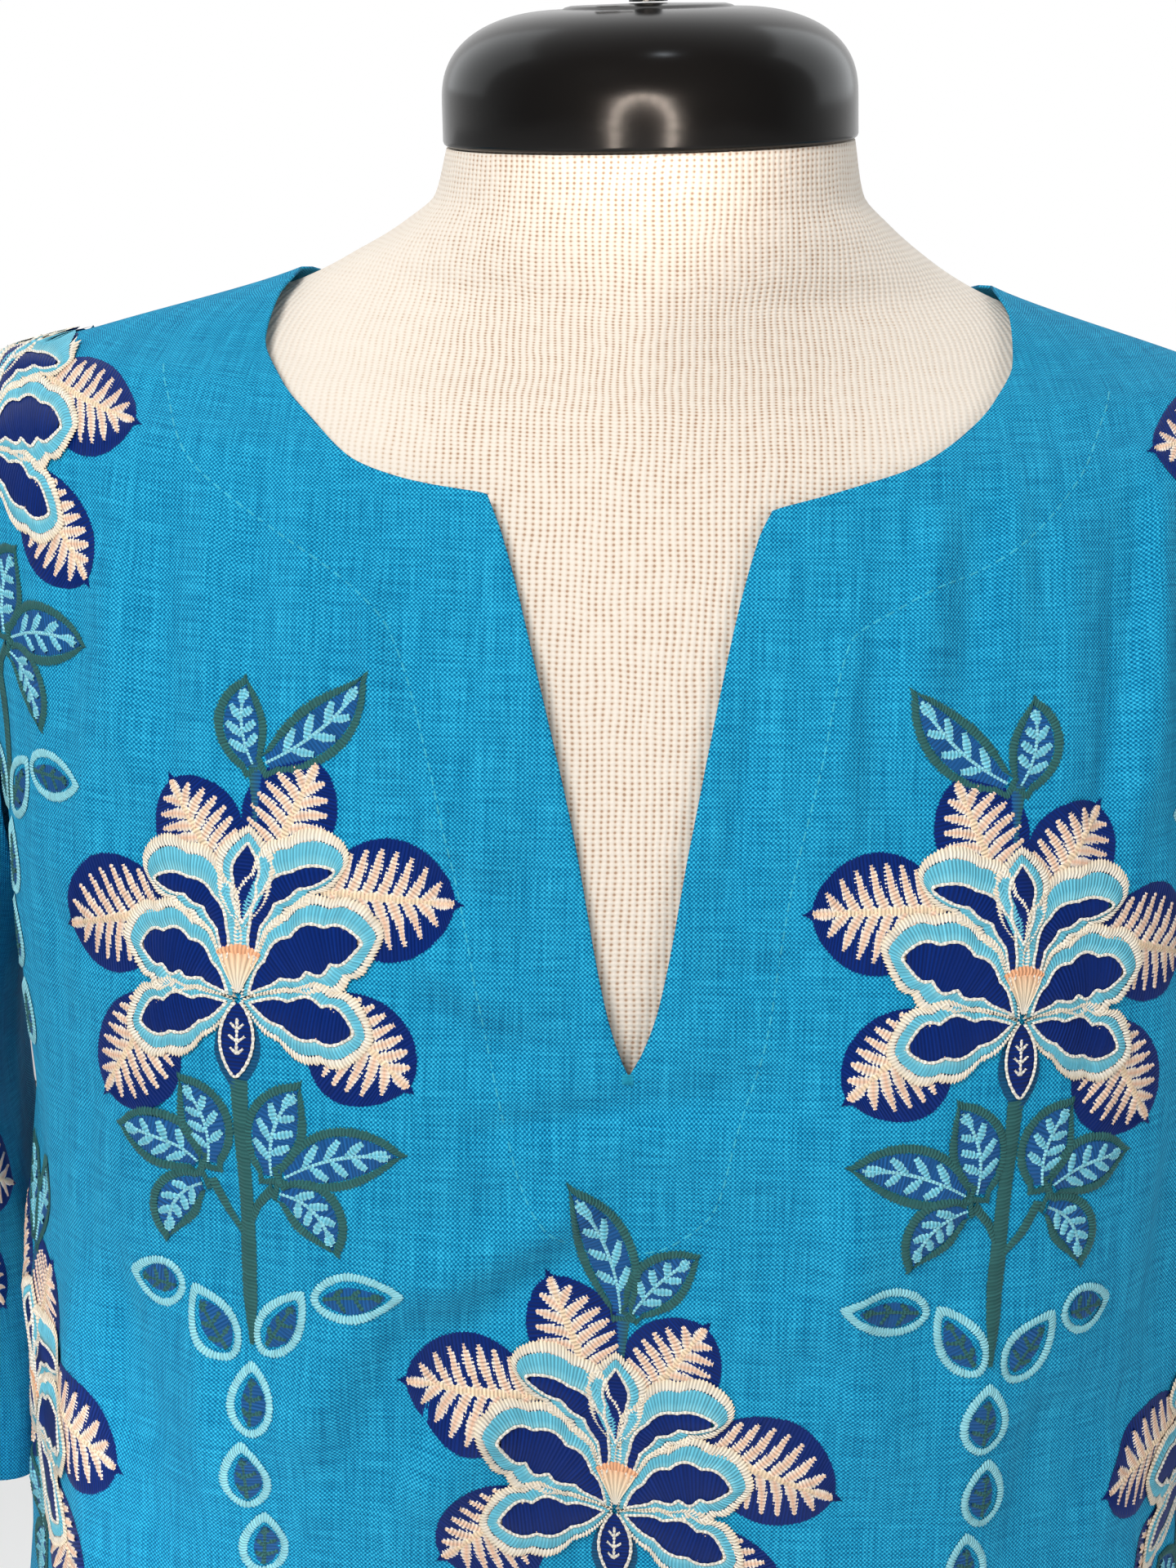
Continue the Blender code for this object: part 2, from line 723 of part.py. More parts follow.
def build_cap(material, metal, collection):
    lean = Matrix.Rotation(-CAP_LEAN, 4, "Y")
    seat = Matrix.Translation(Vector((0.0, 0.0, (NECK_TOP + PART_GAP) * MM)))
    turned("neck_cap", cap_profile(), ROUND_STEPS, seat @ lean, material, collection)
    rise = Matrix.Translation(Vector((0.0, 0.0, (CAP_HEIGHT + PART_GAP) * MM)))
    profile = [
        (0.0, POST_HEIGHT),
        (POST_RADIUS - POST_BEVEL, POST_HEIGHT),
        (POST_RADIUS, POST_HEIGHT - POST_BEVEL),
        (POST_RADIUS, 2.0 * POST_FLANGE_HEIGHT),
        (POST_RADIUS + POST_FLANGE, POST_FLANGE_HEIGHT),
        (POST_RADIUS + POST_FLANGE, 0.0),
        (0.0, 0.0),
    ]
    turned("cap_post", profile, 20, seat @ lean @ rise, metal, collection)
    level = Matrix.Translation(Vector((-(POST_RADIUS + PART_GAP), 0.0, SCREW_LEVEL)) * MM)
    sideways = Matrix.Rotation(-math.pi / 2.0, 4, "Y")
    screw = [
        (0.0, SCREW_LENGTH),
        (SCREW_RADIUS - SCREW_BEVEL, SCREW_LENGTH),
        (SCREW_RADIUS, SCREW_LENGTH - SCREW_BEVEL),
        (SCREW_RADIUS, SCREW_SHANK_LENGTH + SCREW_BEVEL),
        (SCREW_SHANK_RADIUS, SCREW_SHANK_LENGTH),
        (SCREW_SHANK_RADIUS, 0.0),
        (0.0, 0.0),
    ]
    place = seat @ lean @ rise @ level @ sideways
    turned("cap_screw", screw, 16, place, metal, collection)


def build_stand(material, collection):
    base = [
        (0.0, BASE_THICKNESS),
        (BASE_RADIUS - BASE_BEVEL, BASE_THICKNESS),
        (BASE_RADIUS, BASE_THICKNESS - BASE_BEVEL),
        (BASE_RADIUS, 0.0),
        (0.0, 0.0),
    ]
    turned("stand_base", base, 48, Matrix.Identity(4), material, collection)
    foot = BASE_THICKNESS + PART_GAP
    head = NECK_TOP - FORM_ROWS[-1][0] - PART_GAP
    pole = [
        (0.0, head),
        (POLE_RADIUS, head),
        (POLE_RADIUS, foot + COLLAR_HEIGHT + COLLAR_SLOPE),
        (COLLAR_RADIUS, foot + COLLAR_HEIGHT),
        (COLLAR_RADIUS + COLLAR_FLARE, foot),
        (0.0, foot),
    ]
    turned("stand_pole", pole, 28, Matrix.Identity(4), material, collection)


def make_materials():
    made = {}
    for name, (colour, roughness, metallic) in MATERIALS.items():
        material = bpy.data.materials.new(name)
        material.use_nodes = True
        shader = material.node_tree.nodes["Principled BSDF"]
        shader.inputs["Base Color"].default_value = colour
        shader.inputs["Roughness"].default_value = roughness
        shader.inputs["Metallic"].default_value = metallic
        made[name] = material
    return made


def main():
    clear_scene()
    collection = bpy.data.collections.new("split_neck_blouse")
    bpy.context.scene.collection.children.link(collection)
    materials = make_materials()
    build_front(materials["linen"], collection)
    build_back(materials["linen"], collection)
    build_sleeve("sleeve_left", 1, materials["linen"], collection)
    build_sleeve("sleeve_right", -1, materials["linen"], collection)
    build_form(materials["knit"], collection)
    build_cap(materials["cap"], materials["hardware"], collection)
    build_stand(materials["stand"], collection)


main()
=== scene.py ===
"""Looks of the embroidered split-neck blouse on its dress form.

Lengths are in millimetres and become metres where a mesh is made. A place on the cloth is given
by its distance from a panel's middle, round the body, and by its drop below the form's neck top
or its fall, which is the same way measured along the cloth.
"""
import math

import bpy
import numpy as np
from mathutils import Matrix, Vector


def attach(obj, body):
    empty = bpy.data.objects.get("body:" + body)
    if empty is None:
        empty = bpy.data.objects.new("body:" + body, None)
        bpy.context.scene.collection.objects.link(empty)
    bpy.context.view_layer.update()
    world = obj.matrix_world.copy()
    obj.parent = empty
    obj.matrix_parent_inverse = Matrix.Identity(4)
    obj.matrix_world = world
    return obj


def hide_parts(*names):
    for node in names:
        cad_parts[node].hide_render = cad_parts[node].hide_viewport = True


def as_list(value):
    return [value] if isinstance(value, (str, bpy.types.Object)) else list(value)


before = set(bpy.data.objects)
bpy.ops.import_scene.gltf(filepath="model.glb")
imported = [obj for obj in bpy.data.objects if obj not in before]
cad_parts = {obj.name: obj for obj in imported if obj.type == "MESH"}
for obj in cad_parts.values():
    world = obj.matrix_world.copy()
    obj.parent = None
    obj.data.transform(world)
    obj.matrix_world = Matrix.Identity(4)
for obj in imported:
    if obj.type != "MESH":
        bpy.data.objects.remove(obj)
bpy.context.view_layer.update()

MM = 0.001
RANDOM = np.random.default_rng(7)

# Body of the blouse and form, the same sizes as the solids
NECK_TOP = 892.0
HEM_DROP = 641.0
SLIT_END_DROP = 229.0
SHOULDER_POINT_DROP = 69.5
UNDERARM_DROP = 225.0
HIGH_POINT_HALF = 97.0
WALL = 1.2
SEAM_GAP = 0.36
CAP_LEAN = math.radians(2.8)
CAP_LEAN_DEPTH = 32.0
PART_GAP = 0.3

# Level sections: drop, half width, front depth, back depth, squareness
FORM_ROWS = (
    (0, 57, 57, 57, 2), (14, 60, 59, 59, 2), (22, 68, 62, 62, 1.9), (30, 79, 64, 65, 1.7),
    (40, 97, 66.5, 66, 1.43), (55.5, 148, 72, 73, 1.3), (66.5, 181, 78, 83, 1.45), (81, 188.5, 87, 93, 1.8),
    (110, 185, 101, 104, 2.1), (150, 171, 114, 110, 2.3), (210, 156, 126, 112, 2.4),
    (270, 152, 131, 106, 2.4), (330, 141, 121, 97, 2.4), (390, 126, 106, 89, 2.3), (440, 119, 98, 87, 2.25),
    (500, 130, 103, 96, 2.25), (560, 150, 110, 110, 2.3), (640, 167, 115, 118, 2.35),
    (680, 166, 112, 114, 2.35), (700, 158, 104, 106, 2.35),
)
CLOTH_ROWS = (
    (35.5, 91.5, 69.5, 73.5, 1.72), (40, 101.8, 71.5, 77.5, 1.63), (55.5, 151.6, 76, 81.5, 1.39),
    (66.5, 184.2, 82, 88.5, 1.48), (81, 191.6, 91.8, 99, 1.83), (110, 190.5, 104.6, 107.6, 2.15),
    (150, 184, 118, 114, 2.5), (225, 173, 132.5, 117.5, 2.85), (270, 169.5, 137.5, 119, 2.9),
    (330, 170, 138, 121, 2.8), (416, 174.5, 137.5, 125, 2.65), (500, 182.5, 138, 130, 2.5),
    (600, 189, 139, 136, 2.4), (650, 192.5, 140, 139, 2.4),
)
# Chest mounds: across, drop, spread across, above, below, height
FORM_CHEST = (72, 262, 46, 62, 58, 9)
CLOTH_CHEST = (72, 268, 52, 75, 190, 7)

# Necklines: distance from the middle and drop; slit edges: drop, right half, left half
NECKLINES = {
    -1: ((41, 86), (61.5, 83.7), (76, 79.8), (88, 71.5), (98, 62.5), (103.5, 53.5), (101.5, 43.5)),
    1: ((33.5, 88), (57, 82), (71.5, 77.6), (84.5, 70.7), (93.5, 63), (99.5, 54), (100, 44)),
}
SLIT_ROWS = (
    (86, 41, 34.5), (95, 37, 30), (125, 27.8, 22.6), (168, 16.3, 14.8), (212, 6.8, 7.4), (224, 2.8, 3.3),
    (229, 0.4, 0.4),
)
BACK_NECKLINE_ROWS = ((0, 66), (35, 63.5), (65, 56), (86, 46.5))
# Armholes: drop and share of the way round
FRONT_ARMHOLE_ROWS = (
    (69.5, 1), (81, 0.955), (105, 0.905), (150, 0.862), (190, 0.872), (215, 0.93), (225, 1),
)
BACK_ARMHOLE_ROWS = (
    (69.5, 1), (81, 1.05), (105, 1.105), (150, 1.148), (190, 1.135), (215, 1.07), (225, 1),
)
# Long folds: side, share and drop at the top, share and drop at the foot, half width, height
BODY_FOLDS = (
    (1, 0.6, 72, 0.64, 235, 13, -3), (1, 0.69, 78, 0.72, 215, 11, 1.6), (-1, 0.62, 78, 0.66, 205, 13, -1.8),
    (-1, 0.98, 240, 0.93, 420, 17, -3), (1, 0.97, 250, 0.92, 400, 17, -2.5),
    (1, 0.16, 395, 0.2, 641, 26, -4.5), (1, 0.42, 330, 0.45, 641, 30, 5.5),
    (1, 0.66, 300, 0.69, 641, 24, -6), (1, 0.88, 340, 0.9, 641, 26, 6.5),
    (-1, 0.12, 420, 0.14, 641, 24, 3.5), (-1, 0.34, 350, 0.37, 641, 25, -5),
    (-1, 0.57, 310, 0.6, 641, 28, 6), (-1, 0.8, 330, 0.83, 641, 24, -6), (1, 1.3, 150, 1.36, 420, 26, -4),
    (-1, 1.34, 140, 1.3, 400, 24, -4.5), (1, 1.12, 330, 1.1, 641, 24, -5.5),
    (1, 1.38, 330, 1.36, 641, 30, 6.5), (1, 1.66, 280, 1.63, 641, 26, -6),
    (1, 1.9, 320, 1.88, 641, 26, 5.5), (-1, 1.14, 320, 1.16, 641, 26, 5.5),
    (-1, 1.42, 300, 1.44, 641, 27, -6), (-1, 1.7, 330, 1.68, 641, 28, 6.5),
)
# Share of a fold's length over which it grows and fades
FOLD_GROWTH = 0.45

# Ring of the sleeve's hem: middle, set back, drop, half across, half deep, rise of its outer side
SLEEVE_HEM = (214.5, 30, 391, 42.5, 67, 18)
# Sleeve folds: turn in degrees at the top and at the hem, start and end as shares of the way down,
# half width in degrees, height
SLEEVE_FOLDS = (
    (40, 55, 0.12, 1, 17, -6), (95, 88, 0.3, 1, 16, 4), (128, 122, 0.35, 1, 15, -5),
    (232, 240, 0.25, 1, 17, -5), (275, 272, 0.35, 1, 16, 3.5), (318, 305, 0.1, 1, 17, -6),
    (5, 0, 0.05, 0.55, 22, 3),
)
# Step of the sleeve out from the armhole, and the turn either side of the underarm where it is tucked
SLEEVE_SEAM_STEP = 0.88
TUCK_HALF = 35.0
TUCK_FADE = 55.0
# Ways in which the sleeve leaves the armhole and arrives at its hem, and how far each one holds
LEAVE_OUT = (0.60, 0.25)
LEAVE_FORWARD = -0.14
LEAVE_DOWN = (-0.70, 0.24)
ARRIVE = (0.05, 0.0, -1.0)
SLEEVE_START_REACH = 150.0
SLEEVE_END_REACH = 120.0
# Room to the body, how much less of it there is at the underarm and over which drop that ends
SLEEVE_CLEARANCE = 3.1
SLEEVE_EASE_IN = 3.6
SLEEVE_EASE_DROP = 14.0

# Fineness of the cloth meshes: their cells, how much these crowd, and the surface grids' steps
NECK_CELLS = 46
SHOULDER_CELLS = 46
ARMHOLE_CELLS = 56
ARMHOLE_CROWDING = 1.4
SIDE_CELLS = 100
SIDE_CROWDING = 1.25
SLEEVE_DOWN = 72
SLEEVE_AROUND = 120
LEVEL_STEP = 1.5
SHARE_CELLS = 400
# Length to either side over which a section's slope is read
NORMAL_STEP = 0.5
# The cloth's outer face over its base, its wall, and how far its cut edges round out
CLOTH_OUT = 1.15
CLOTH_THICK = 0.75
EDGE_ROLL = 0.4
# Drop at which the fall is the same as the drop, and how a drop is sought from a fall
FALL_LEVEL = 150.0
FALL_ROUNDS = 12
FALL_PACE = 0.7
FALL_STRIDE = 25.0

# Creases listed on each panel: distance and drop at one end, the same at the other,
# bend sideways, half width, height
CREASES = {
    "front": (
        (116, 82, 111, 172, 0, 7, 2.8), (133, 80, 124, 172, -1, 4.6, -3.4), (143, 82, 140, 160, 0, 5, 3.6),
        (155, 88, 158, 190, 3, 5, -2.4), (170, 100, 178, 200, 3, 7, 2.5), (78, 86, 72, 140, 0, 6, 2.9),
        (90, 76, 85, 134, 0, 4.5, -2.3), (99, 80, 98, 130, 0, 4.5, 2), (118, 60, 115, 92, 0, 4.5, -2.6),
        (54, 112, 52, 176, 0, 5, 1.6), (63, 108, 60, 160, 0, 5, -0.8), (31, 132, 23, 196, 0, 5, -2.6),
        (18, 200, 46, 204, 0, 5, -2.9), (16, 216, 48, 226, 0, 5, 1.9), (-44, 246, 46, 233, -2, 4.5, -3.4),
        (-58, 256, 50, 246, -2, 8, 1.2), (-71, 106, -57, 160, 4, 5, 4), (-55, 158, -33, 180, 2, 5, 3.9),
        (-78, 80, -55, 112, 2, 5, -2.3), (-46, 92, -40, 118, 0, 6, -2), (-58, 196, -20, 214, 3, 5, 3.6),
        (-58, 208, -22, 226, 3, 4.5, -3), (-89, 84, -87, 140, 0, 5, 2.3), (-104, 80, -101, 150, 0, 5, -1.6),
        (-117, 84, -113, 160, 0, 5, 2), (-130, 88, -126, 170, 0, 6, -1.9),
        (-146, 92, -150, 180, -3, 7, 2.2), (-8, 258, -64, 288, -4, 8, 5), (-64, 286, -96, 340, -4, 8, 4.2),
        (-12, 272, -54, 302, -3, 7, -3.6), (-52, 298, -74, 352, -3, 9, -5.4),
        (-34, 316, -58, 352, -3, 9, 5.6), (-60, 362, -96, 374, 2, 9, -3.5),
        (-112, 296, -108, 356, 0, 9, 3.6), (-141, 292, -134, 352, 0, 8, -2.7),
        (-158, 300, -156, 380, 3, 9, 2.8), (58, 258, 76, 344, 4, 8, 5.3), (36, 256, 42, 290, 0, 7, -3),
        (120, 316, 116, 376, 0, 12, -4.6), (92, 288, 98, 330, 0, 9, 1.9), (160, 254, 162, 326, 0, 8, -3),
        (174, 240, 180, 330, 0, 8, 2.8), (-226, 236, -176, 300, 8, 9, -2.4),
        (-232, 268, -190, 338, 6, 8, 2), (224, 240, 186, 300, -8, 9, -2.4), (-8, 380, 4, 480, 2, 12, 1.6),
        (46, 372, 40, 470, -4, 12, -2.4), (-84, 380, -104, 520, -7, 13, -1.8),
        (-150, 384, -132, 500, 6, 12, 1.6), (152, 378, 138, 500, -5, 12, 2.5),
        (205, 372, 198, 560, 4, 12, -2.4), (-196, 388, -210, 590, -4, 12, -1.8),
    ),
    "back": (
        (92, 84, 122, 190, 6, 9, -2.2), (-96, 88, -128, 200, -6, 9, -2.3), (26, 74, 18, 150, 2, 8, 1.2),
        (-36, 80, -22, 166, -3, 8, -1.2), (205, 236, 150, 318, -7, 10, -2.4),
        (-208, 240, -158, 306, 8, 9, -2.3), (60, 230, 40, 430, -6, 13, -2.2),
        (-70, 250, -48, 448, 7, 13, 1.9), (138, 330, 150, 560, 5, 13, -2.2),
        (-146, 320, -158, 540, -6, 12, 2.1), (0, 300, -6, 520, 3, 12, 1.6),
    ),
}
# Slow unevenness of the hanging cloth: wave length across and down, phase, height
WAVES = (
    (64, 210, 0.4, 0.6), (41, -150, 1.9, 0.4), (97, 120, 3.1, 0.65), (17, 260, 4.4, 0.16),
    (11.5, -340, 5.2, 0.09), (-19, 74, 0.9, 0.1),
)

# Start and length of growth for the waves, the puckers, the deeper hollows and sleeve ripples
WAVE_GROWTH = (70.0, 110.0)
PUCKER_GROWTH = (60.0, 40.0)
HOLLOW_GROWTH = (75.0, 60.0)
RIPPLE_GROWTH = (0.06, 0.25)
# How far creases may sink at the top, and how much more below
LEAST_HOLLOW = 0.3
MORE_HOLLOW = 2.6
# Width beside a seam over which the creases die out
SEAM_CALM = 16.0
# Puckers round a flower: how many, lean, start, height; then how far out they lie and how wide
PUCKERS = ((9.0, 0.05, 0.01, 0.60), (16.0, -0.09, 0.02, 0.32))
PUCKER_REACH = 60.0
PUCKER_WIDTH = 17.0

# Embroidery repeat, with the fall of its first flower, its columns on each side of the middle,
# the falls that hold all its flowers and the slope of the middle ones
REPEAT_ACROSS = 101.5
REPEAT_DOWN = 133.0
FIRST_FALL = 216.0
OUTER_COLUMN = 2
FLOWER_RANGE = (40.0, HEM_DROP + 70.0)
MIDDLE_SLOPE = -0.10
# Outermost flowers, where the cloth hangs from the shoulder points: fall, step outward, sag, slope
# of the weft down towards the front
SIDE_HANG = (
    (90, -5, 3, 0.2), (362, -6, 15, 0.38), (640, 0, 13, 0.15),
)
# Flowers of a sleeve: length from its outer line, fall, flip
SLEEVE_FLOWERS = ((0, 96, 1), (-101.5, 229, 1), (101.5, 229, -1), (0, 362, 1))
# Width of a thread where the photograph shows it and elsewhere, and the widest fine one; depth of
# the groove beside a fine thread and length of a chain stitch
STITCH = 1.0
COARSE_STITCH = 2.3
WIDEST_FINE = 1.5
GROOVE = 0.22
CHAIN = 2.2
THREADS = {
    "navy": (0.0012, 0.019, 0.155),
    "blue": (0.13, 0.5, 0.66),
    "pale": (0.28, 0.66, 0.76),
    "cream": (0.86, 0.73, 0.55),
    "butter": (0.86, 0.64, 0.43),
    "white": (0.87, 0.83, 0.74),
    "apricot": (0.84, 0.52, 0.36),
    "peach": (0.86, 0.43, 0.24),
    "green": (0.03, 0.125, 0.125),
    "leaf": (0.012, 0.095, 0.29),
    "slate": (0.006, 0.08, 0.19),
    "linen": (0.016, 0.3, 0.46),
    "stitch": (0.045, 0.38, 0.53),
}


def hermite(t, start, end, leave, arrive):
    """Cubic between two ends that leaves and arrives along two given ways."""
    first = start * (1 + 2 * t) * (1 - t) ** 2 + leave * t * (1 - t) ** 2
    return first + end * t * t * (3 - 2 * t) + arrive * t * t * (t - 1)


def smooth_curve(rows, column):
    """Cubic through a table's column that never swings past its values; takes arrays."""
    xs = np.array([row[0] for row in rows], float)
    ys = np.array([row[column] for row in rows], float)
    step = np.diff(xs)
    slope = np.diff(ys) / step
    before, after = slope[:-1], slope[1:]
    same = before * after > 0
    inner = np.where(same, 2.0 * before * after / np.where(same, before + after, 1.0), 0.0)
    tangent = np.concatenate(([slope[0]], inner, [slope[-1]]))

    def at(x):
        x = np.clip(np.asarray(x, float), xs[0], xs[-1])
        i = np.clip(np.searchsorted(xs, x, side="right") - 1, 0, len(step) - 1)
        u = (x - xs[i]) / step[i]
        return hermite(u, ys[i], ys[i + 1], tangent[i] * step[i], tangent[i + 1] * step[i])

    return at


def run_along(points):
    """Length so far at each point of a line, or down each line of a grid."""
    step = np.linalg.norm(np.diff(points, axis=0), axis=-1)
    return np.concatenate((np.zeros((1, *step.shape[1:])), np.cumsum(step, axis=0)))


def read_rows(at, keys, rows):
    """Rows read between their keys, column by column."""
    return np.stack([np.interp(at, keys, column) for column in rows.T], axis=1)


def blend(grid, i, j, k, u, v):
    """Grid values between rows i and i + 1 and columns j and k."""
    if grid.ndim == 3:
        u, v = u[..., None], v[..., None]
    upper = grid[i, j] * (1 - v) + grid[i, k] * v
    lower = grid[i + 1, j] * (1 - v) + grid[i + 1, k] * v
    return upper * (1 - u) + lower * u


def closed_line(line):
    return np.concatenate((line, line[:1]))


def ease(x):
    x = np.clip(x, 0.0, 1.0)
    return x * x * (3.0 - 2.0 * x)


def grown(place, growth):
    """Share reached at a place by what grows from a start over a length."""
    return ease((place - growth[0]) / growth[1])


def mound(gap, width):
    """Soft mound, 1 at its middle."""
    return np.exp(-(gap / width) ** 2)


def unit(v):
    return v / np.maximum(np.linalg.norm(v, axis=-1, keepdims=True), 1e-9)


class Figure:
    """A body of level sections, each a rounded oval with its own front and back depth."""

    STEPS = np.linspace(0.0, math.pi / 2.0, 181)

    def __init__(self, rows, chest):
        self.side, self.front, self.back, self.square = (smooth_curve(rows, k) for k in (1, 2, 3, 4))
        self.chest = chest

    def quarter(self, drop, behind):
        """Across, depth and length so far along a quarter of one section."""
        power = 2.0 / self.square(drop)
        depth = self.back(drop) if behind else self.front(drop)
        across = self.side(drop) * np.sin(self.STEPS) ** power
        away = depth * np.abs(np.cos(self.STEPS)) ** power
        away[-1] = 0.0
        return across, away, run_along(np.column_stack((across, away)))

    def chest_lift(self, across, away, drop):
        middle, level, spread, above, below, height = self.chest
        forward = ease(away / (0.5 * self.front(drop)))
        upright = mound(drop - level, above if drop < level else below)
        return height * forward * mound(np.abs(across) - middle, spread) * upright

    def row(self, shares, drop, behind, lift):
        """Points of one level at shares 0 (middle) to 1 (side), on the +X side."""
        xs, ys, run = self.quarter(drop, behind)
        length = shares * run[-1]
        x, y = np.interp(length, run, xs), np.interp(length, run, ys)
        near, far = length - NORMAL_STEP, length + NORMAL_STEP
        across = np.interp(near, run, ys) - np.interp(far, run, ys)
        along = np.interp(far, run, xs) - np.interp(near, run, xs)
        size = np.hypot(across, along)
        x, y = x + across / size * lift, y + along / size * lift
        if not behind:
            y = y + self.chest_lift(x, y, drop)
        return x, y, run[-1]


FORM = Figure(FORM_ROWS, FORM_CHEST)
BODICE = Figure(CLOTH_ROWS, CLOTH_CHEST)


def fold_window(place, start, end, edge):
    """How far a fold is grown at a place; one that ends at the edge doesn't fade."""
    reach = FOLD_GROWTH * (end - start)
    risen = ease((place - start) / reach)
    return risen if end >= edge else risen * ease((end - place) / reach)


def body_lift(side, shares, drop, length):
    """Lift of the long folds at one level; shares run 0 front middle to 2 back middle."""
    lift = np.zeros_like(shares)
    for fold_side, top, start, low, foot, width, height in BODY_FOLDS:
        if start < drop <= foot:
            middle = top + (low - top) * (drop - start) / (foot - start)
            gap = shares - middle
            if fold_side != side:
                gap = shares + middle if middle < 1.0 else 4.0 - shares - middle
            lift += height * fold_window(drop, start, foot, HEM_DROP) * mound(gap * length, width)
    return lift


def crease(rows, across, drop):
    """Lift of listed creases, each wider towards its second end and fading at both."""
    lift = np.zeros(np.broadcast(across, drop).shape)
    for x0, y0, x1, y1, bend, width, height in rows:
        size = math.hypot(x1 - x0, y1 - y0)
        way_x, way_y = (x1 - x0) / size, (y1 - y0) / size
        along = ((across - x0) * way_x + (drop - y0) * way_y) / size
        aside = (drop - y0) * way_x - (across - x0) * way_y
        held = np.clip(along, 0.0, 1.0)
        taper = ease(along / 0.35 + 0.3) * ease((1.0 - along) / 0.4 + 0.3)
        lift += height * taper * mound(aside - 4.0 * bend * held * (1.0 - held), width * (0.8 + 0.5 * held))
    return lift


def slow_waves(across, drop):
    """Lift of the slow waves of the hanging cloth."""
    lift = np.zeros(np.broadcast(across, drop).shape)
    for wide, tall, phase, height in WAVES:
        lift += height * np.sin(2.0 * math.pi * (across / wide + drop / tall) + phase)
    return lift


def flower_places(low, high):
    """Middles of the flowers of a half-drop repeat: distance, fall, flip, slope, pair."""
    places = []
    hang = np.array(SIDE_HANG).T
    for column in range(-OUTER_COLUMN, OUTER_COLUMN + 1):
        flip = 1 if column < 0 else -1
        for k in range(-2, 3):
            fall = FIRST_FALL + 2.0 * REPEAT_DOWN * k + (0.0 if column % 2 else REPEAT_DOWN)
            across, slope = column * REPEAT_ACROSS, 0.0 if column else MIDDLE_SLOPE
            if abs(column) == OUTER_COLUMN:
                step, sag, slope = (float(np.interp(fall, hang[0], row)) for row in hang[1:])
                across, fall = across - step * flip, fall + sag
            if low < fall < high:
                places.append((across, fall, flip, slope, 1 - column % 2))
    return places


def puckers(across, fall, places):
    """Small ripples that the dense stitching draws into the cloth round each flower."""
    lift = np.zeros(np.broadcast(across, fall).shape)
    for x, y, *_ in places:
        dx, dy = across - x, fall - (y - 10.0)
        reach = np.hypot(dx, dy)
        turn = np.arctan2(dy, dx)
        ring = mound(reach - PUCKER_REACH, PUCKER_WIDTH)
        for count, lean, start, height in PUCKERS:
            lift += height * ring * np.sin(count * turn + lean * reach + start * x)
    return lift


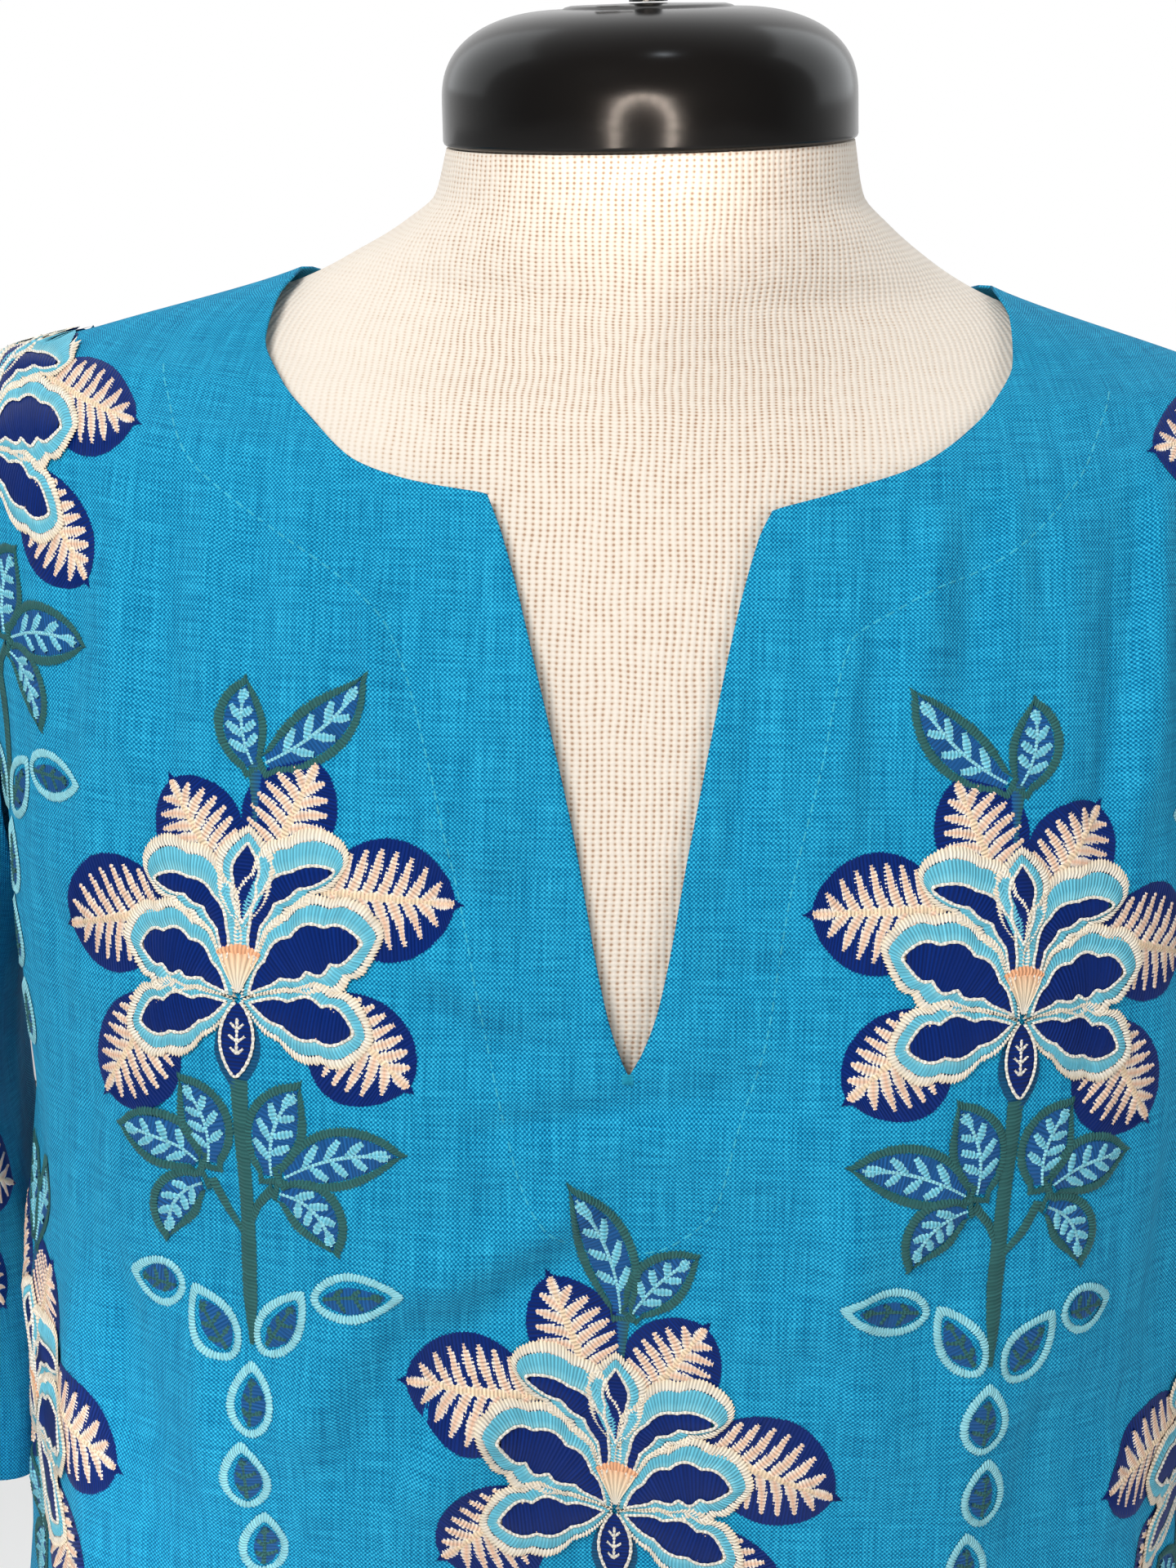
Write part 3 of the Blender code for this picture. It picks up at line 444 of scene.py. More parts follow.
class Panel:
    """One body panel's surface on a grid of levels and shares, with its flat coordinates."""

    def __init__(self, name, behind):
        self.name = name
        self.behind = behind
        self.drops = np.arange(CLOTH_ROWS[0][0], CLOTH_ROWS[-1][0], LEVEL_STEP)
        self.base, self.lengths = self.levels()
        self.across = np.linspace(-1.0, 1.0, SHARE_CELLS + 1) * self.lengths[:, None]
        run = run_along(self.base)
        level = int(round((FALL_LEVEL - self.drops[0]) / LEVEL_STEP))
        self.fall = run - run[level] + self.drops[level]
        lift = CLOTH_OUT + self.creased()
        self.outer = self.base + self.grid_normals(self.base) * lift[..., None]
        self.outer_normals = self.grid_normals(self.outer)

    def levels(self):
        """The panel with its long folds, and each level's length from middle to side."""
        half = np.linspace(0.0, 1.0, SHARE_CELLS // 2 + 1)
        around = 2.0 - half if self.behind else half
        facing = 1.0 if self.behind else -1.0
        rows, lengths = [], []
        for drop in self.drops:
            mean = 0.5 * sum(BODICE.quarter(drop, behind)[2][-1] for behind in (False, True))
            sides = []
            for side in (-1, 1):
                x, y, length = BODICE.row(half, drop, self.behind, body_lift(side, around, drop, mean))
                sides.append(np.stack((side * x, facing * y, np.full_like(x, NECK_TOP - drop)), axis=1))
            left, right = sides
            left[0, 1] = 0.5 * (left[0, 1] + right[0, 1])
            rows.append(np.concatenate((left[::-1], right[1:])))
            lengths.append(length)
        return np.array(rows), np.array(lengths)

    def creased(self):
        """Lift of creases, waves and puckers, which die out where the panels meet."""
        drop = self.drops[:, None]
        lift = crease(CREASES[self.name], self.across, drop)
        lift += grown(drop, WAVE_GROWTH) * slow_waves(self.across, drop)
        flowers = flower_places(*FLOWER_RANGE)
        lift += grown(drop, PUCKER_GROWTH) * puckers(self.across, self.fall, flowers)
        lift *= ease((self.lengths[:, None] - np.abs(self.across)) / SEAM_CALM)
        return np.maximum(lift, -LEAST_HOLLOW - MORE_HOLLOW * grown(drop, HOLLOW_GROWTH))

    def grid_normals(self, points):
        """Normals of a grid that point away from the form's axis."""
        down = np.gradient(points, axis=0)
        over = np.gradient(points, axis=1)
        normal = unit(np.cross(over, down) if self.behind else np.cross(down, over))
        outward = (normal[..., :2] * points[..., :2]).sum(axis=2, keepdims=True)
        return normal * np.where(outward < 0.0, -1.0, 1.0)

    def read(self, grid, across, drop):
        row = np.clip((drop - self.drops[0]) / LEVEL_STEP, 0.0, len(self.drops) - 1.001)
        length = np.interp(drop, self.drops, self.lengths)
        column = np.clip((across / length + 1.0) * 0.5 * SHARE_CELLS, 0.0, SHARE_CELLS - 0.001)
        i, j = row.astype(int), column.astype(int)
        return blend(grid, i, j, j + 1, row - i, column - j)

    def drop_of(self, across, fall):
        """Drop at which a line down the cloth reaches a fall."""
        drop = np.array(fall, float)
        for _ in range(FALL_ROUNDS):
            step = (fall - self.read(self.fall, across, drop)) * FALL_PACE
            step = np.clip(step, -FALL_STRIDE, FALL_STRIDE)
            drop = np.clip(drop + step, self.drops[0], self.drops[-1])
        return drop

    def place(self, across, drop, out):
        """Points on the cloth, or out from it."""
        normal = unit(self.read(self.outer_normals, across, drop))
        return self.read(self.outer, across, drop) + normal * np.asarray(out)[..., None]


SLIT_EDGES = {-1: smooth_curve(SLIT_ROWS, 1), 1: smooth_curve(SLIT_ROWS, 2)}
FRONT_ARMHOLE = smooth_curve(FRONT_ARMHOLE_ROWS, 1)
BACK_ARMHOLE = smooth_curve(BACK_ARMHOLE_ROWS, 1)
FRONT = Panel("front", False)
BACK = Panel("back", True)


def slit_half(side, drop):
    """Distance of the slit's edge from the middle."""
    corner, corner_drop = NECKLINES[side][0]
    edge = np.where(drop <= corner_drop, corner, SLIT_EDGES[side](drop))
    return np.where(drop >= SLIT_END_DROP, 0.0, edge)


def length_at(panel, across, drop):
    """Length round the cloth at a distance from the middle plane."""
    result = np.empty(len(across))
    for k, (x, d) in enumerate(zip(across, drop)):
        xs, _, run = BODICE.quarter(d, panel.behind)
        result[k] = np.interp(x, xs, run)
    return result


def panel_edge(panel, drop):
    """Length from a panel's middle to its armhole or side seam."""
    level = np.maximum(drop, SHOULDER_POINT_DROP)
    length = np.interp(level, panel.drops, panel.lengths)
    share = 2.0 - BACK_ARMHOLE(level) if panel.behind else FRONT_ARMHOLE(level)
    share = np.where(level < UNDERARM_DROP, share, 1.0)
    return np.minimum(share * length, length - 0.5 * SEAM_GAP)


def ridge_drop(across):
    """Drop at which the body is as wide as a distance, on the shoulder."""
    low, high = CLOTH_ROWS[0][0], SHOULDER_POINT_DROP
    for _ in range(40):
        middle = 0.5 * (low + high)
        low, high = (middle, high) if BODICE.side(middle) < across else (low, middle)
    return high


def along_rows(rows, cells):
    """A table's two columns at even steps along their line."""
    points = np.array(rows, float)
    table = np.column_stack((run_along(points), points))
    steps = np.linspace(0.0, table[-1, 0], cells + 1)
    return smooth_curve(table, 1)(steps), smooth_curve(table, 2)(steps)


def top_edge(panel, side):
    """A panel's top edge as lengths and drops: neckline, then shoulder seam."""
    high = ridge_drop(HIGH_POINT_HALF)
    rows = BACK_NECKLINE_ROWS if panel.behind else NECKLINES[side]
    across, drop = along_rows(rows + ((HIGH_POINT_HALF, high),), NECK_CELLS)
    neck = length_at(panel, across[:-1], drop[:-1])
    ridge = np.linspace(high, SHOULDER_POINT_DROP, SHOULDER_CELLS + 1)
    seam = np.array([BODICE.quarter(d, panel.behind)[2][-1] for d in ridge]) - 0.5 * SEAM_GAP
    return np.concatenate((neck, seam)), np.concatenate((drop[:-1], ridge))


def crowded(cells, power):
    """Shares from 0 to 1 that crowd towards the start."""
    return (np.arange(cells + 1) / cells) ** power


def down_steps():
    """Shares of the way from a panel's top edge to its hem, one of them at the underarm."""
    armhole = (UNDERARM_DROP - SHOULDER_POINT_DROP) / (HEM_DROP - SHOULDER_POINT_DROP)
    upper = armhole * crowded(ARMHOLE_CELLS, ARMHOLE_CROWDING)
    return np.concatenate((upper[:-1], armhole + (1.0 - armhole) * crowded(SIDE_CELLS, SIDE_CROWDING)))


def half_grid(panel, side):
    """Signed lengths and drops of one half of a panel, from the top edge to the hem."""
    top_length, top_drop = top_edge(panel, side)
    down = down_steps()[:, None]
    drop = top_drop + (HEM_DROP - top_drop) * down
    inner = np.zeros_like(drop)
    if not panel.behind:
        inner = length_at(panel, slit_half(side, drop.ravel()), drop.ravel()).reshape(drop.shape)
    top_weight = (top_length - inner[0]) / (panel_edge(panel, top_drop) - inner[0])
    weight = top_weight * (1.0 - down) + np.linspace(0.0, 1.0, len(top_drop)) * down
    return side * (inner + (panel_edge(panel, drop) - inner) * weight), drop


class Maker:
    """Collects points, faces, flat coordinates and colours of one mesh."""

    def __init__(self):
        self.points, self.faces, self.flat, self.colours = [], [], [], []
        self.count = 0

    def add(self, points, faces, flat, colours=None):
        self.points.append(points)
        self.faces.append(faces + self.count)
        self.flat.append(flat)
        if colours is not None:
            self.colours.append(colours)
        self.count += len(points)

    def arrays(self):
        parts = (self.points, self.faces, self.flat, self.colours)
        return [np.concatenate(part) if part else None for part in parts]

    def build(self, name, material, slot, nodes=()):
        """The mesh as a piece of the scene, which replaces the nodes if any are named."""
        points, faces, flat, colours = self.arrays()
        mesh = bpy.data.meshes.new(name)
        mesh.vertices.add(len(points))
        mesh.vertices.foreach_set("co", (points * MM).astype(np.float32).ravel())
        mesh.loops.add(faces.size)
        mesh.loops.foreach_set("vertex_index", faces.astype(np.int32).ravel())
        mesh.polygons.add(len(faces))
        starts = np.arange(len(faces), dtype=np.int32) * faces.shape[1]
        mesh.polygons.foreach_set("loop_start", starts)
        mesh.update(calc_edges=True)
        cut = mesh.uv_layers.new(name="cut")
        cut.data.foreach_set("uv", flat[faces.ravel()].astype(np.float32).ravel())
        if colours is not None:
            colour = mesh.color_attributes.new("thread", "FLOAT_COLOR", "POINT")
            rgba = np.column_stack((colours, np.ones(len(points))))
            colour.data.foreach_set("color", rgba.astype(np.float32).ravel())
        mesh.validate()
        mesh.shade_smooth()
        mesh.materials.append(material)
        thing = bpy.data.objects.new(name, mesh)
        bpy.context.scene.collection.objects.link(thing)
        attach(thing, "root")
        if nodes:
            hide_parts(*nodes)
        return thing


def numbers(rows, columns, first=0):
    """Point numbers of a grid."""
    return np.arange(rows * columns).reshape(rows, columns) + first


def grid_faces(index, closed=False):
    """Quads of a grid of point numbers, joined round its columns where it is closed."""
    if closed:
        index = np.column_stack((index, index[:, 0]))
    quads = (index[:-1, :-1], index[1:, :-1], index[1:, 1:], index[:-1, 1:])
    return np.stack([q.ravel() for q in quads], axis=1)


def shell(maker, outer, normals, faces, flat):
    """Closes an outer skin into a thin wall with a soft rolled edge."""
    inner = outer - normals * CLOTH_THICK
    count = len(outer)
    edges = np.concatenate([faces[:, [a, (a + 1) % 4]] for a in range(4)])
    keys = edges.min(axis=1).astype(np.int64) * count + edges.max(axis=1)
    _, first, times = np.unique(keys, return_index=True, return_counts=True)
    rim = edges[first[times == 1]]
    loop = np.unique(rim)
    number = np.full(count, -1)
    number[loop] = np.arange(len(loop)) + 2 * count
    centre, share = np.zeros((count, 3)), np.zeros((count, 1))
    middles = outer[faces].mean(axis=1)
    for corner in range(4):
        np.add.at(centre, faces[:, corner], middles)
        np.add.at(share, faces[:, corner], 1.0)
    away = outer[loop] - centre[loop] / share[loop]
    away -= normals[loop] * np.sum(away * normals[loop], axis=1)[:, None]
    roll = 0.5 * (outer[loop] + inner[loop]) + unit(away) * EDGE_ROLL
    a, b = rim.T
    upper = np.stack((b, a, number[a], number[b]), axis=1)
    lower = np.stack((number[b], number[a], a + count, b + count), axis=1)
    every = np.concatenate((faces, faces[:, ::-1] + count, upper, lower))
    maker.add(np.concatenate((outer, inner, roll)), every, np.concatenate((flat, flat, flat[loop])))


def body_panel(name, panel, material, node):
    """A panel's two halves joined down the middle, below the slit on the front."""
    halves = [half_grid(panel, side) for side in (-1, 1)]
    rows, columns = halves[0][0].shape
    across, drop = (np.concatenate([half[k].ravel() for half in halves]) for k in (0, 1))
    left, right = numbers(rows, columns), numbers(rows, columns, rows * columns)
    joined = panel.behind | (halves[0][1][:, 0] >= SLIT_END_DROP)
    right[joined, 0] = left[joined, 0]
    faces = np.concatenate((grid_faces(left)[:, ::-1], grid_faces(right)))
    if panel.behind:
        faces = faces[:, ::-1]
    used, faces = np.unique(faces, return_inverse=True)
    across, drop = across[used], drop[used]
    flat = np.column_stack((across, panel.read(panel.fall, across, drop)))
    normals = unit(panel.read(panel.outer_normals, across, drop))
    maker = Maker()
    shell(maker, panel.place(across, drop, 0.0), normals, faces.reshape(-1, 4), flat)
    return maker.build(name, material, "linen", (node,))


def armhole_ring(side):
    """Armhole points on the solid's inner face, from the shoulder point by the front."""
    share = crowded(ARMHOLE_CELLS, ARMHOLE_CROWDING)
    drop = SHOULDER_POINT_DROP + (UNDERARM_DROP - SHOULDER_POINT_DROP) * share
    front, back = (part.read(part.base, side * panel_edge(part, drop), drop) for part in (FRONT, BACK))
    return np.concatenate((front, back[-2:0:-1])) * (side, 1, 1)


def even_ring(ring):
    """The armhole at even steps of turn: 0 at the shoulder, 180 degrees at the underarm."""
    ring = closed_line(ring)
    run = run_along(ring)
    low = run[ARMHOLE_CELLS]
    turns = 180.0 * np.where(run <= low, run / low, 1.0 + (run - low) / (run[-1] - low))
    steps = np.arange(SLEEVE_AROUND) * 360.0 / SLEEVE_AROUND
    return read_rows(steps, turns, ring), steps


def sleeve_fold(turn, along):
    """Lift of the sleeve's folds at one row."""
    lift = np.zeros_like(turn)
    for top, low, start, end, width, height in SLEEVE_FOLDS:
        if start < along <= end:
            gap = (turn - (top + (low - top) * along) + 180.0) % 360.0 - 180.0
            lift += height * fold_window(along, start, end, 1.0) * mound(gap, width)
    return lift


def clear_of_body(points):
    """Moves a ring of sleeve points out to where the body's cloth leaves room for it."""
    for point in points:
        drop = NECK_TOP - point[2]
        if drop >= UNDERARM_DROP:
            across, away, _ = BODICE.quarter(drop, point[1] > 0)
            depth = abs(point[1])
            if depth <= away[0]:
                eased = 1.0 - ease((drop - UNDERARM_DROP) / SLEEVE_EASE_DROP)
                limit = np.interp(depth, away[::-1], across[::-1]) + 2.0 * WALL
                point[0] = max(point[0], limit + SLEEVE_CLEARANCE - SLEEVE_EASE_IN * eased)
    return points


class Sleeve:
    """A sleeve's surface on a grid of turns and rows down, with its flat coordinates."""

    def __init__(self, side):
        self.side = side
        ring, self.turns = even_ring(armhole_ring(side))
        base = self.tube(ring)
        self.girth = run_along(closed_line(np.swapaxes(base, 0, 1)))[-1]
        run = run_along(base)
        self.reach = run[-1]
        self.hem_fall = self.reach.max()
        self.shares = (run / self.reach).mean(axis=1)
        self.fall = run + self.hem_fall - self.reach
        lift = CLOTH_OUT + self.ripples()
        self.outer = base + self.normals_of(base) * lift[..., None]
        self.outer_normals = self.normals_of(self.outer)

    def tube(self, ring):
        """Rows from the armhole to the hem, with the sleeve's folds."""
        middle, set_back, hem_drop, half_across, half_deep, rise = SLEEVE_HEM
        angle = np.radians(self.turns)
        outer, forward = np.cos(angle), np.sin(angle)
        end = np.stack((
            middle + half_across * outer, set_back - half_deep * forward, NECK_TOP - hem_drop + rise * outer,
        ), axis=1)
        leave = unit(np.stack((
            LEAVE_OUT[0] + LEAVE_OUT[1] * outer,
            LEAVE_FORWARD * forward,
            LEAVE_DOWN[0] + LEAVE_DOWN[1] * outer,
        ), axis=1))
        under = ease((TUCK_HALF + TUCK_FADE - np.abs(self.turns - 180.0)) / TUCK_FADE)
        start = ring.copy()
        start[:, 0] += SLEEVE_SEAM_STEP + under * 2.0 * WALL
        outward = unit(np.stack((outer * half_deep, -forward * half_across, 0 * outer), axis=1))
        arrive = unit(np.array(ARRIVE)) * SLEEVE_END_REACH
        rows = []
        for t in np.arange(SLEEVE_DOWN + 1) / SLEEVE_DOWN:
            spot = hermite(t, start, end, leave * SLEEVE_START_REACH, arrive)
            rows.append(clear_of_body(spot + outward * sleeve_fold(self.turns, t)[:, None]))
        return np.array(rows) * (self.side, 1, 1)

    def ripples(self):
        """Slow unevenness of the sleeve, none at the armhole."""
        t = np.linspace(0.0, 1.0, SLEEVE_DOWN + 1)[:, None]
        turn = np.radians(self.turns)
        ripple = 0.7 * np.sin(3.0 * turn + 5.0 * t) + 0.5 * np.sin(7.0 * turn - 9.0 * t + self.side)
        return (ripple + 0.35 * np.sin(13.0 * turn + 14.0 * t)) * grown(t, RIPPLE_GROWTH)

    def normals_of(self, points):
        down = np.gradient(points, axis=0)
        over = np.roll(points, -1, axis=1) - np.roll(points, 1, axis=1)
        return unit(np.cross(over, down)) * self.side

    def column(self, across):
        """Column at a length round from the outer line, and the cloth's reach down there."""
        column = (across / self.girth.mean() * SLEEVE_AROUND) % SLEEVE_AROUND
        return column, np.interp(column, np.arange(SLEEVE_AROUND + 1.0), closed_line(self.reach))

    def place(self, across, fall, out):
        """Points on the sleeve, or out from it; fall ends at the hem all round."""
        column, reach = self.column(across)
        j = np.minimum(column.astype(int), SLEEVE_AROUND - 1)
        share = np.clip(1.0 - (self.hem_fall - fall) / reach, 0.0, 0.9999)
        row = np.interp(share, self.shares, np.arange(SLEEVE_DOWN + 1.0))
        i = np.minimum(row.astype(int), SLEEVE_DOWN - 1)
        cell = (i, j, (j + 1) % SLEEVE_AROUND, row - i, column - j)
        return blend(self.outer, *cell) + unit(blend(self.outer_normals, *cell)) * out[..., None]

    def build(self, name, material, node):
        faces = grid_faces(numbers(SLEEVE_DOWN + 1, SLEEVE_AROUND), closed=True)
        if self.side > 0:
            faces = faces[:, ::-1]
        across = self.turns / 360.0 * self.girth[:, None]
        flat = np.column_stack((across.ravel(), self.fall.ravel()))
        maker = Maker()
        shell(maker, self.outer.reshape(-1, 3), self.outer_normals.reshape(-1, 3), faces, flat)
        return maker.build(name, material, "linen", (node,))


def resample(path, pitch, closed=False):
    """Points along a polyline at even steps near the pitch, and how far along each one is."""
    path = np.asarray(path, float)
    if closed:
        path = closed_line(path)
    run = run_along(path)
    count = max(int(round(run[-1] / pitch)), 2)
    steps = np.linspace(0.0, run[-1], count + 1)
    return read_rows(steps, run, path), steps


def sideways(path):
    """Normals to the left of a path."""
    way = unit(np.gradient(path, axis=0))
    return np.stack((-way[:, 1], way[:, 0]), axis=1)


class Leaf:
    """A leaf shape on a bowed axis, with its own half width each side, a blunt or pointed end
    and, on petals, a scalloped edge."""

    HALF_STEPS = 120
    LEAST_HALF = 0.3
    END_STEP = 0.01

    def __init__(self, base, tip, left, right=None, bow=0.0, fullest=1.0, blunt=0.8, point=0.0,
                 lobes=0, scallop=0.0):
        self.base = np.array(base, float)
        self.tip = np.array(tip, float)
        self.left = left
        self.right = left if right is None else right
        self.bow, self.fullest, self.blunt, self.point = bow, fullest, blunt, point
        self.lobes, self.scallop = lobes, scallop

    def inset(self, near, far, left, right):
        """The same shape moved in at its base, tip and sides."""
        way = unit(self.tip - self.base)
        return Leaf(
            self.base + way * near, self.tip - way * far,
            max(self.left - left, self.LEAST_HALF), max(self.right - right, self.LEAST_HALF),
            self.bow, self.fullest, self.blunt, self.point, self.lobes, self.scallop,
        )

    def axis(self, t):
        t = np.asarray(t, float)[..., None]
        way = self.tip - self.base
        normal = np.array([-way[1], way[0]]) / np.linalg.norm(way)
        return self.base + way * t + normal * self.bow * 4.0 * t * (1.0 - t)

    def side(self, t, which):
        """Edge point at share t of the axis, which is +1 on the left and -1 on the right."""
        t = np.asarray(t, float)
        body = np.clip(t / (1.0 - self.point), 0.0, 1.0)
        shape = np.abs(np.sin(math.pi * body ** self.fullest)) ** self.blunt
        if self.lobes:
            shape = shape * (1.0 + self.scallop * (np.abs(np.sin(math.pi * self.lobes * t)) - 0.7))
        if self.point:
            shape = np.maximum(shape, 0.42 * np.clip((1.0 - t) / (3.2 * self.point), 0.0, 1.0) ** 1.3)
        width = (self.left if which > 0 else self.right) * shape
        before, after = np.maximum(t - self.END_STEP, 0.0), np.minimum(t + self.END_STEP, 1.0)
        way = unit(self.axis(after) - self.axis(before))
        normal = np.stack((-way[..., 1], way[..., 0]), axis=-1)
        return self.axis(t) + normal * (which * width)[..., None]

    def outline(self):
        """Closed outline from the base by the left side to the tip and back by the right."""
        t = 0.5 - 0.5 * np.cos(np.linspace(0.0, math.pi, self.HALF_STEPS + 1))
        return np.concatenate((self.side(t, 1), self.side(t[::-1], -1)[1:-1]))


class Stitcher(Maker):
    """Lays raised stitches in a motif's own flat coordinates, x across and y up."""

    def __init__(self, pitch):
        super().__init__()
        self.fine = pitch <= WIDEST_FINE
        self.row = 0.5 * pitch if self.fine else pitch
        self.random = np.random.default_rng(11)

    def satin(self, left, right, along, colours, lift, arch, cells=2, tooth=0.25, closed=False):
        """Rows of thread between two edges; each thread is a crown between two grooves, and the grooves'
        colour is darkened with painted shade.
        """
        if isinstance(colours, str):
            colours = (colours, colours)
        rows = len(left)
        share = np.linspace(0.0, 1.0, cells + 1)
        odd = (np.arange(rows) % 2 == 1) & self.fine
        pull = np.where(odd, tooth, -0.35 * tooth)
        if self.fine:
            pull = pull + self.random.normal(0.0, 0.25 * tooth, rows)
        pull = unit(right - left) * pull[:, None]
        left, right = (left + pull)[:, None], (right - pull)[:, None]
        flat = left * (1 - share)[:, None] + right * share[:, None]
        height = lift + arch * (1.0 - (2.0 * share - 1.0) ** 2) - GROOVE * odd[:, None]
        height[:, [0, -1]] = max(0.5 * lift, lift - 0.35)
        tint = read_rows(share, np.linspace(0.0, 1.0, len(colours)), np.array([THREADS[c] for c in colours]))
        # Painted shade: groove rows darkened to 0.55 and crown rows brightened by 1.08 (a slight painted
        # highlight), over a random tone for each row.
        shade = self.random.normal(1.0, 0.07, rows) * np.where(odd, 0.55, 1.08)
        index = numbers(rows, cells + 1)
        across, length = np.broadcast_arrays(share, np.asarray(along)[:, None])
        self.add(
            np.column_stack((flat.reshape(-1, 2), height.ravel())),
            grid_faces(closed_line(index) if closed else index),
            np.column_stack((across.ravel(), length.ravel())),
            (tint * shade[:, None, None]).reshape(-1, 3),
        )

    def band(self, path, widths, colours, lift=0.35, arch=0.3, tooth=0.25, slant=0.0):
        """Satin along a path, with its width read evenly from a short list."""
        path, run = resample(path, self.row)
        width = np.interp(run / run[-1], np.linspace(0.0, 1.0, len(widths)), widths)
        normal = sideways(path)
        half = normal * (0.5 * width)[:, None] + np.stack((normal[:, 1], -normal[:, 0]), axis=1) * slant
        self.satin(path + half, path - half, run, colours, lift, arch, 2, tooth)

    def ring(self, outer, inner, colours, lift=0.5, arch=0.25, tooth=0.3):
        """Satin between two leaf shapes, all the way round."""
        whole = closed_line(outer.outline())
        edge, run = resample(whole, self.row)
        inside = read_rows(run, run_along(whole), closed_line(inner.outline()))
        rows = len(edge) - 1
        rows -= rows % 2 if self.fine else 0
        self.satin(edge[:rows], inside[:rows], run[:rows], colours, lift, arch, 2, tooth, closed=True)

    def fill(self, leaf, colour, lift=0.3, arch=0.25, lead=0.06, tooth=0.2):
        """Both halves of a leaf filled from its axis to its edge, the stitches leaning forward."""
        shares = np.linspace(0.02, 1.0, 120)
        for which in (1, -1):
            edge = leaf.side(shares, which)
            rows, run = resample(edge, self.row)
            axis = leaf.axis(np.clip(np.interp(run, run_along(edge), shares) - lead, 0.0, 1.0))
            self.satin(*(rows, axis)[::which], run, colour, lift, arch, 3, tooth)

    def across(self, leaf, colour, lift=0.3, arch=0.3, tooth=0.2):
        """A leaf filled from edge to edge."""
        size = np.linalg.norm(leaf.tip - leaf.base)
        t = np.linspace(0.03, 0.97, max(int(size / self.row), 3))
        self.satin(leaf.side(t, 1), leaf.side(t, -1), t * size, colour, lift, arch, 4, tooth)

    def chain(self, path, colour="white", width=0.95, lift=0.85, closed=True):
        """A line of small chain stitches."""
        path, run = resample(path, 0.25 * CHAIN if self.fine else CHAIN, closed)
        wide = width * (0.62 + 0.38 * np.abs(np.sin(math.pi * run / CHAIN)))
        half = sideways(path) * (0.5 * wide)[:, None]
        self.satin(path + half, path - half, run, colour, lift, 0.3, 2, 0.0)


# Flower, in millimetres from where its petals meet, as the columns left of the middle show it.
# Outer petals: base x, base y, tip x, tip y, half width on the left and right of the way out
OUTER_PETALS = (
    (-5, 29, -23.5, 56, 12.5, 13.5), (6, 32, 20, 64.5, 14, 11.5), (-21.5, 20.5, -60, 9.5, 14.5, 17),
    (20.5, 29.5, 58.5, 28, 15.5, 16.5), (-23, -3, -44.5, -33.5, 17.5, 12), (22, 2, 47, -21, 11.5, 17.5),
)
# Layered inner petals in the order in which they are sewn: base, tip, half widths, bow, where
# fullest, bluntness, width of the cream edge, width of the blue band left and right, lobes
INNER_PETALS = (
    ((0.3, 17), (1.2, 45), 8.6, 8.6, 0, 1.2, 0.85, 2.3, 2.6, 2.6, 2),
    ((-1.8, 6), (-30.5, 32), 8.6, 9.8, -9, 1.75, 0.42, 2.4, 2.6, 5, 4),
    ((2.2, 6), (28.5, 39.5), 9.8, 8.6, 9, 1.75, 0.42, 2.4, 5, 2.6, 4),
    ((-0.6, -0.4), (-34.5, -12), 10, 11, 0.8, 1.45, 0.56, 2.3, 3.6, 2.6, 3),
    ((0.8, -0.4), (36, -7.5), 11.4, 10.4, -0.8, 1.45, 0.56, 2.3, 2.6, 3.6, 3),
    ((-0.5, 0.3), (-36.5, 11.5), 12.6, 11.8, -4.8, 1.45, 0.6, 2.4, 3.8, 4.2, 4),
    ((0.8, 0.3), (38, 20), 12, 13.4, 4.8, 1.45, 0.6, 2.4, 4.2, 3.8, 4),
)
SCALLOP = 0.17
# Green-edged leaves of the sprays: base, tip, half width, bow
SPRAY_LEAVES = (
    ((-9, -48.5), (-21.5, -69), 7, -4), ((-9.5, -45.5), (-37.8, -38.5), 7.9, -2.2),
    ((-8, -46.5), (-17.8, -21.5), 8.2, -3.2), ((10.5, -48), (28.5, -65.5), 7.2, 3.6),
    ((11, -46), (46, -36.5), 8.2, 2.4), ((9.5, -47.5), (17, -19.5), 8.4, 3.2),
)
# The pair of leaves over a flower: base, tip, half width, bow, for the side columns and the middle
LEAF_PAIRS = (
    (((2.2, 58), (-1.6, 84), 7.4, 2.6), ((3.4, 59.5), (32.5, 86.5), 7.4, -2.6)),
    (((-0.6, 53), (15.8, 90), 7.8, 3.2), ((-1.4, 54), (-20.6, 74), 7.4, -1.5)),
)
# Pale-edged small leaves under a spray: pointed end, round end, half width
SMALL_LEAVES = (
    ((-34, -79.4), (-15.9, -81), 7.2), ((-13.8, -79), (-0.6, -97.5), 6.8),
    ((18.9, -75.2), (7.4, -94.5), 6.6), ((45.5, -73), (21, -77), 6.6), ((4.7, -97), (5.3, -118), 7),
    ((2.8, -119.5), (4, -139.5), 6.8), ((8, -140.5), (6.5, -160), 6.4),
)
# Ribs on each side of an outer petal
RIBS = 8


def fern_petal(s, base_x, base_y, tip_x, tip_y, left, right):
    """Outer petal: navy, with pale ribs that lean forward from a cream spine."""
    petal = Leaf((base_x, base_y), (tip_x, tip_y), left, right, fullest=1.05, blunt=0.52, point=0.07)
    s.fill(petal, "navy", 0.3, 0.2, lead=0.05, tooth=0.3)
    for k in range(RIBS):
        t = 0.10 + 0.70 * k / (RIBS - 1)
        for which in (1, -1):
            root = petal.axis(t + 0.015 * which)
            reach = petal.side(min(t + 0.13 + 0.05 * t, 0.96), which)
            end = root + (reach - root) * (0.84 - 0.10 * t)
            aside = np.array([-1.0, 1.0]) * (end - root)[::-1]
            middle = 0.5 * (root + end) - 0.04 * which * aside
            s.band((root, middle, end), (2.3, 3.1, 3.2, 2.6, 1.1), ("white", "apricot", "white"),
                   0.55, 0.3, 0.30)
    spine = petal.axis(np.linspace(0.02, 0.90, 14))
    s.band(spine, (2.7, 2.5, 1.3), ("cream", "butter", "cream"), 0.65, 0.3, 0.22)


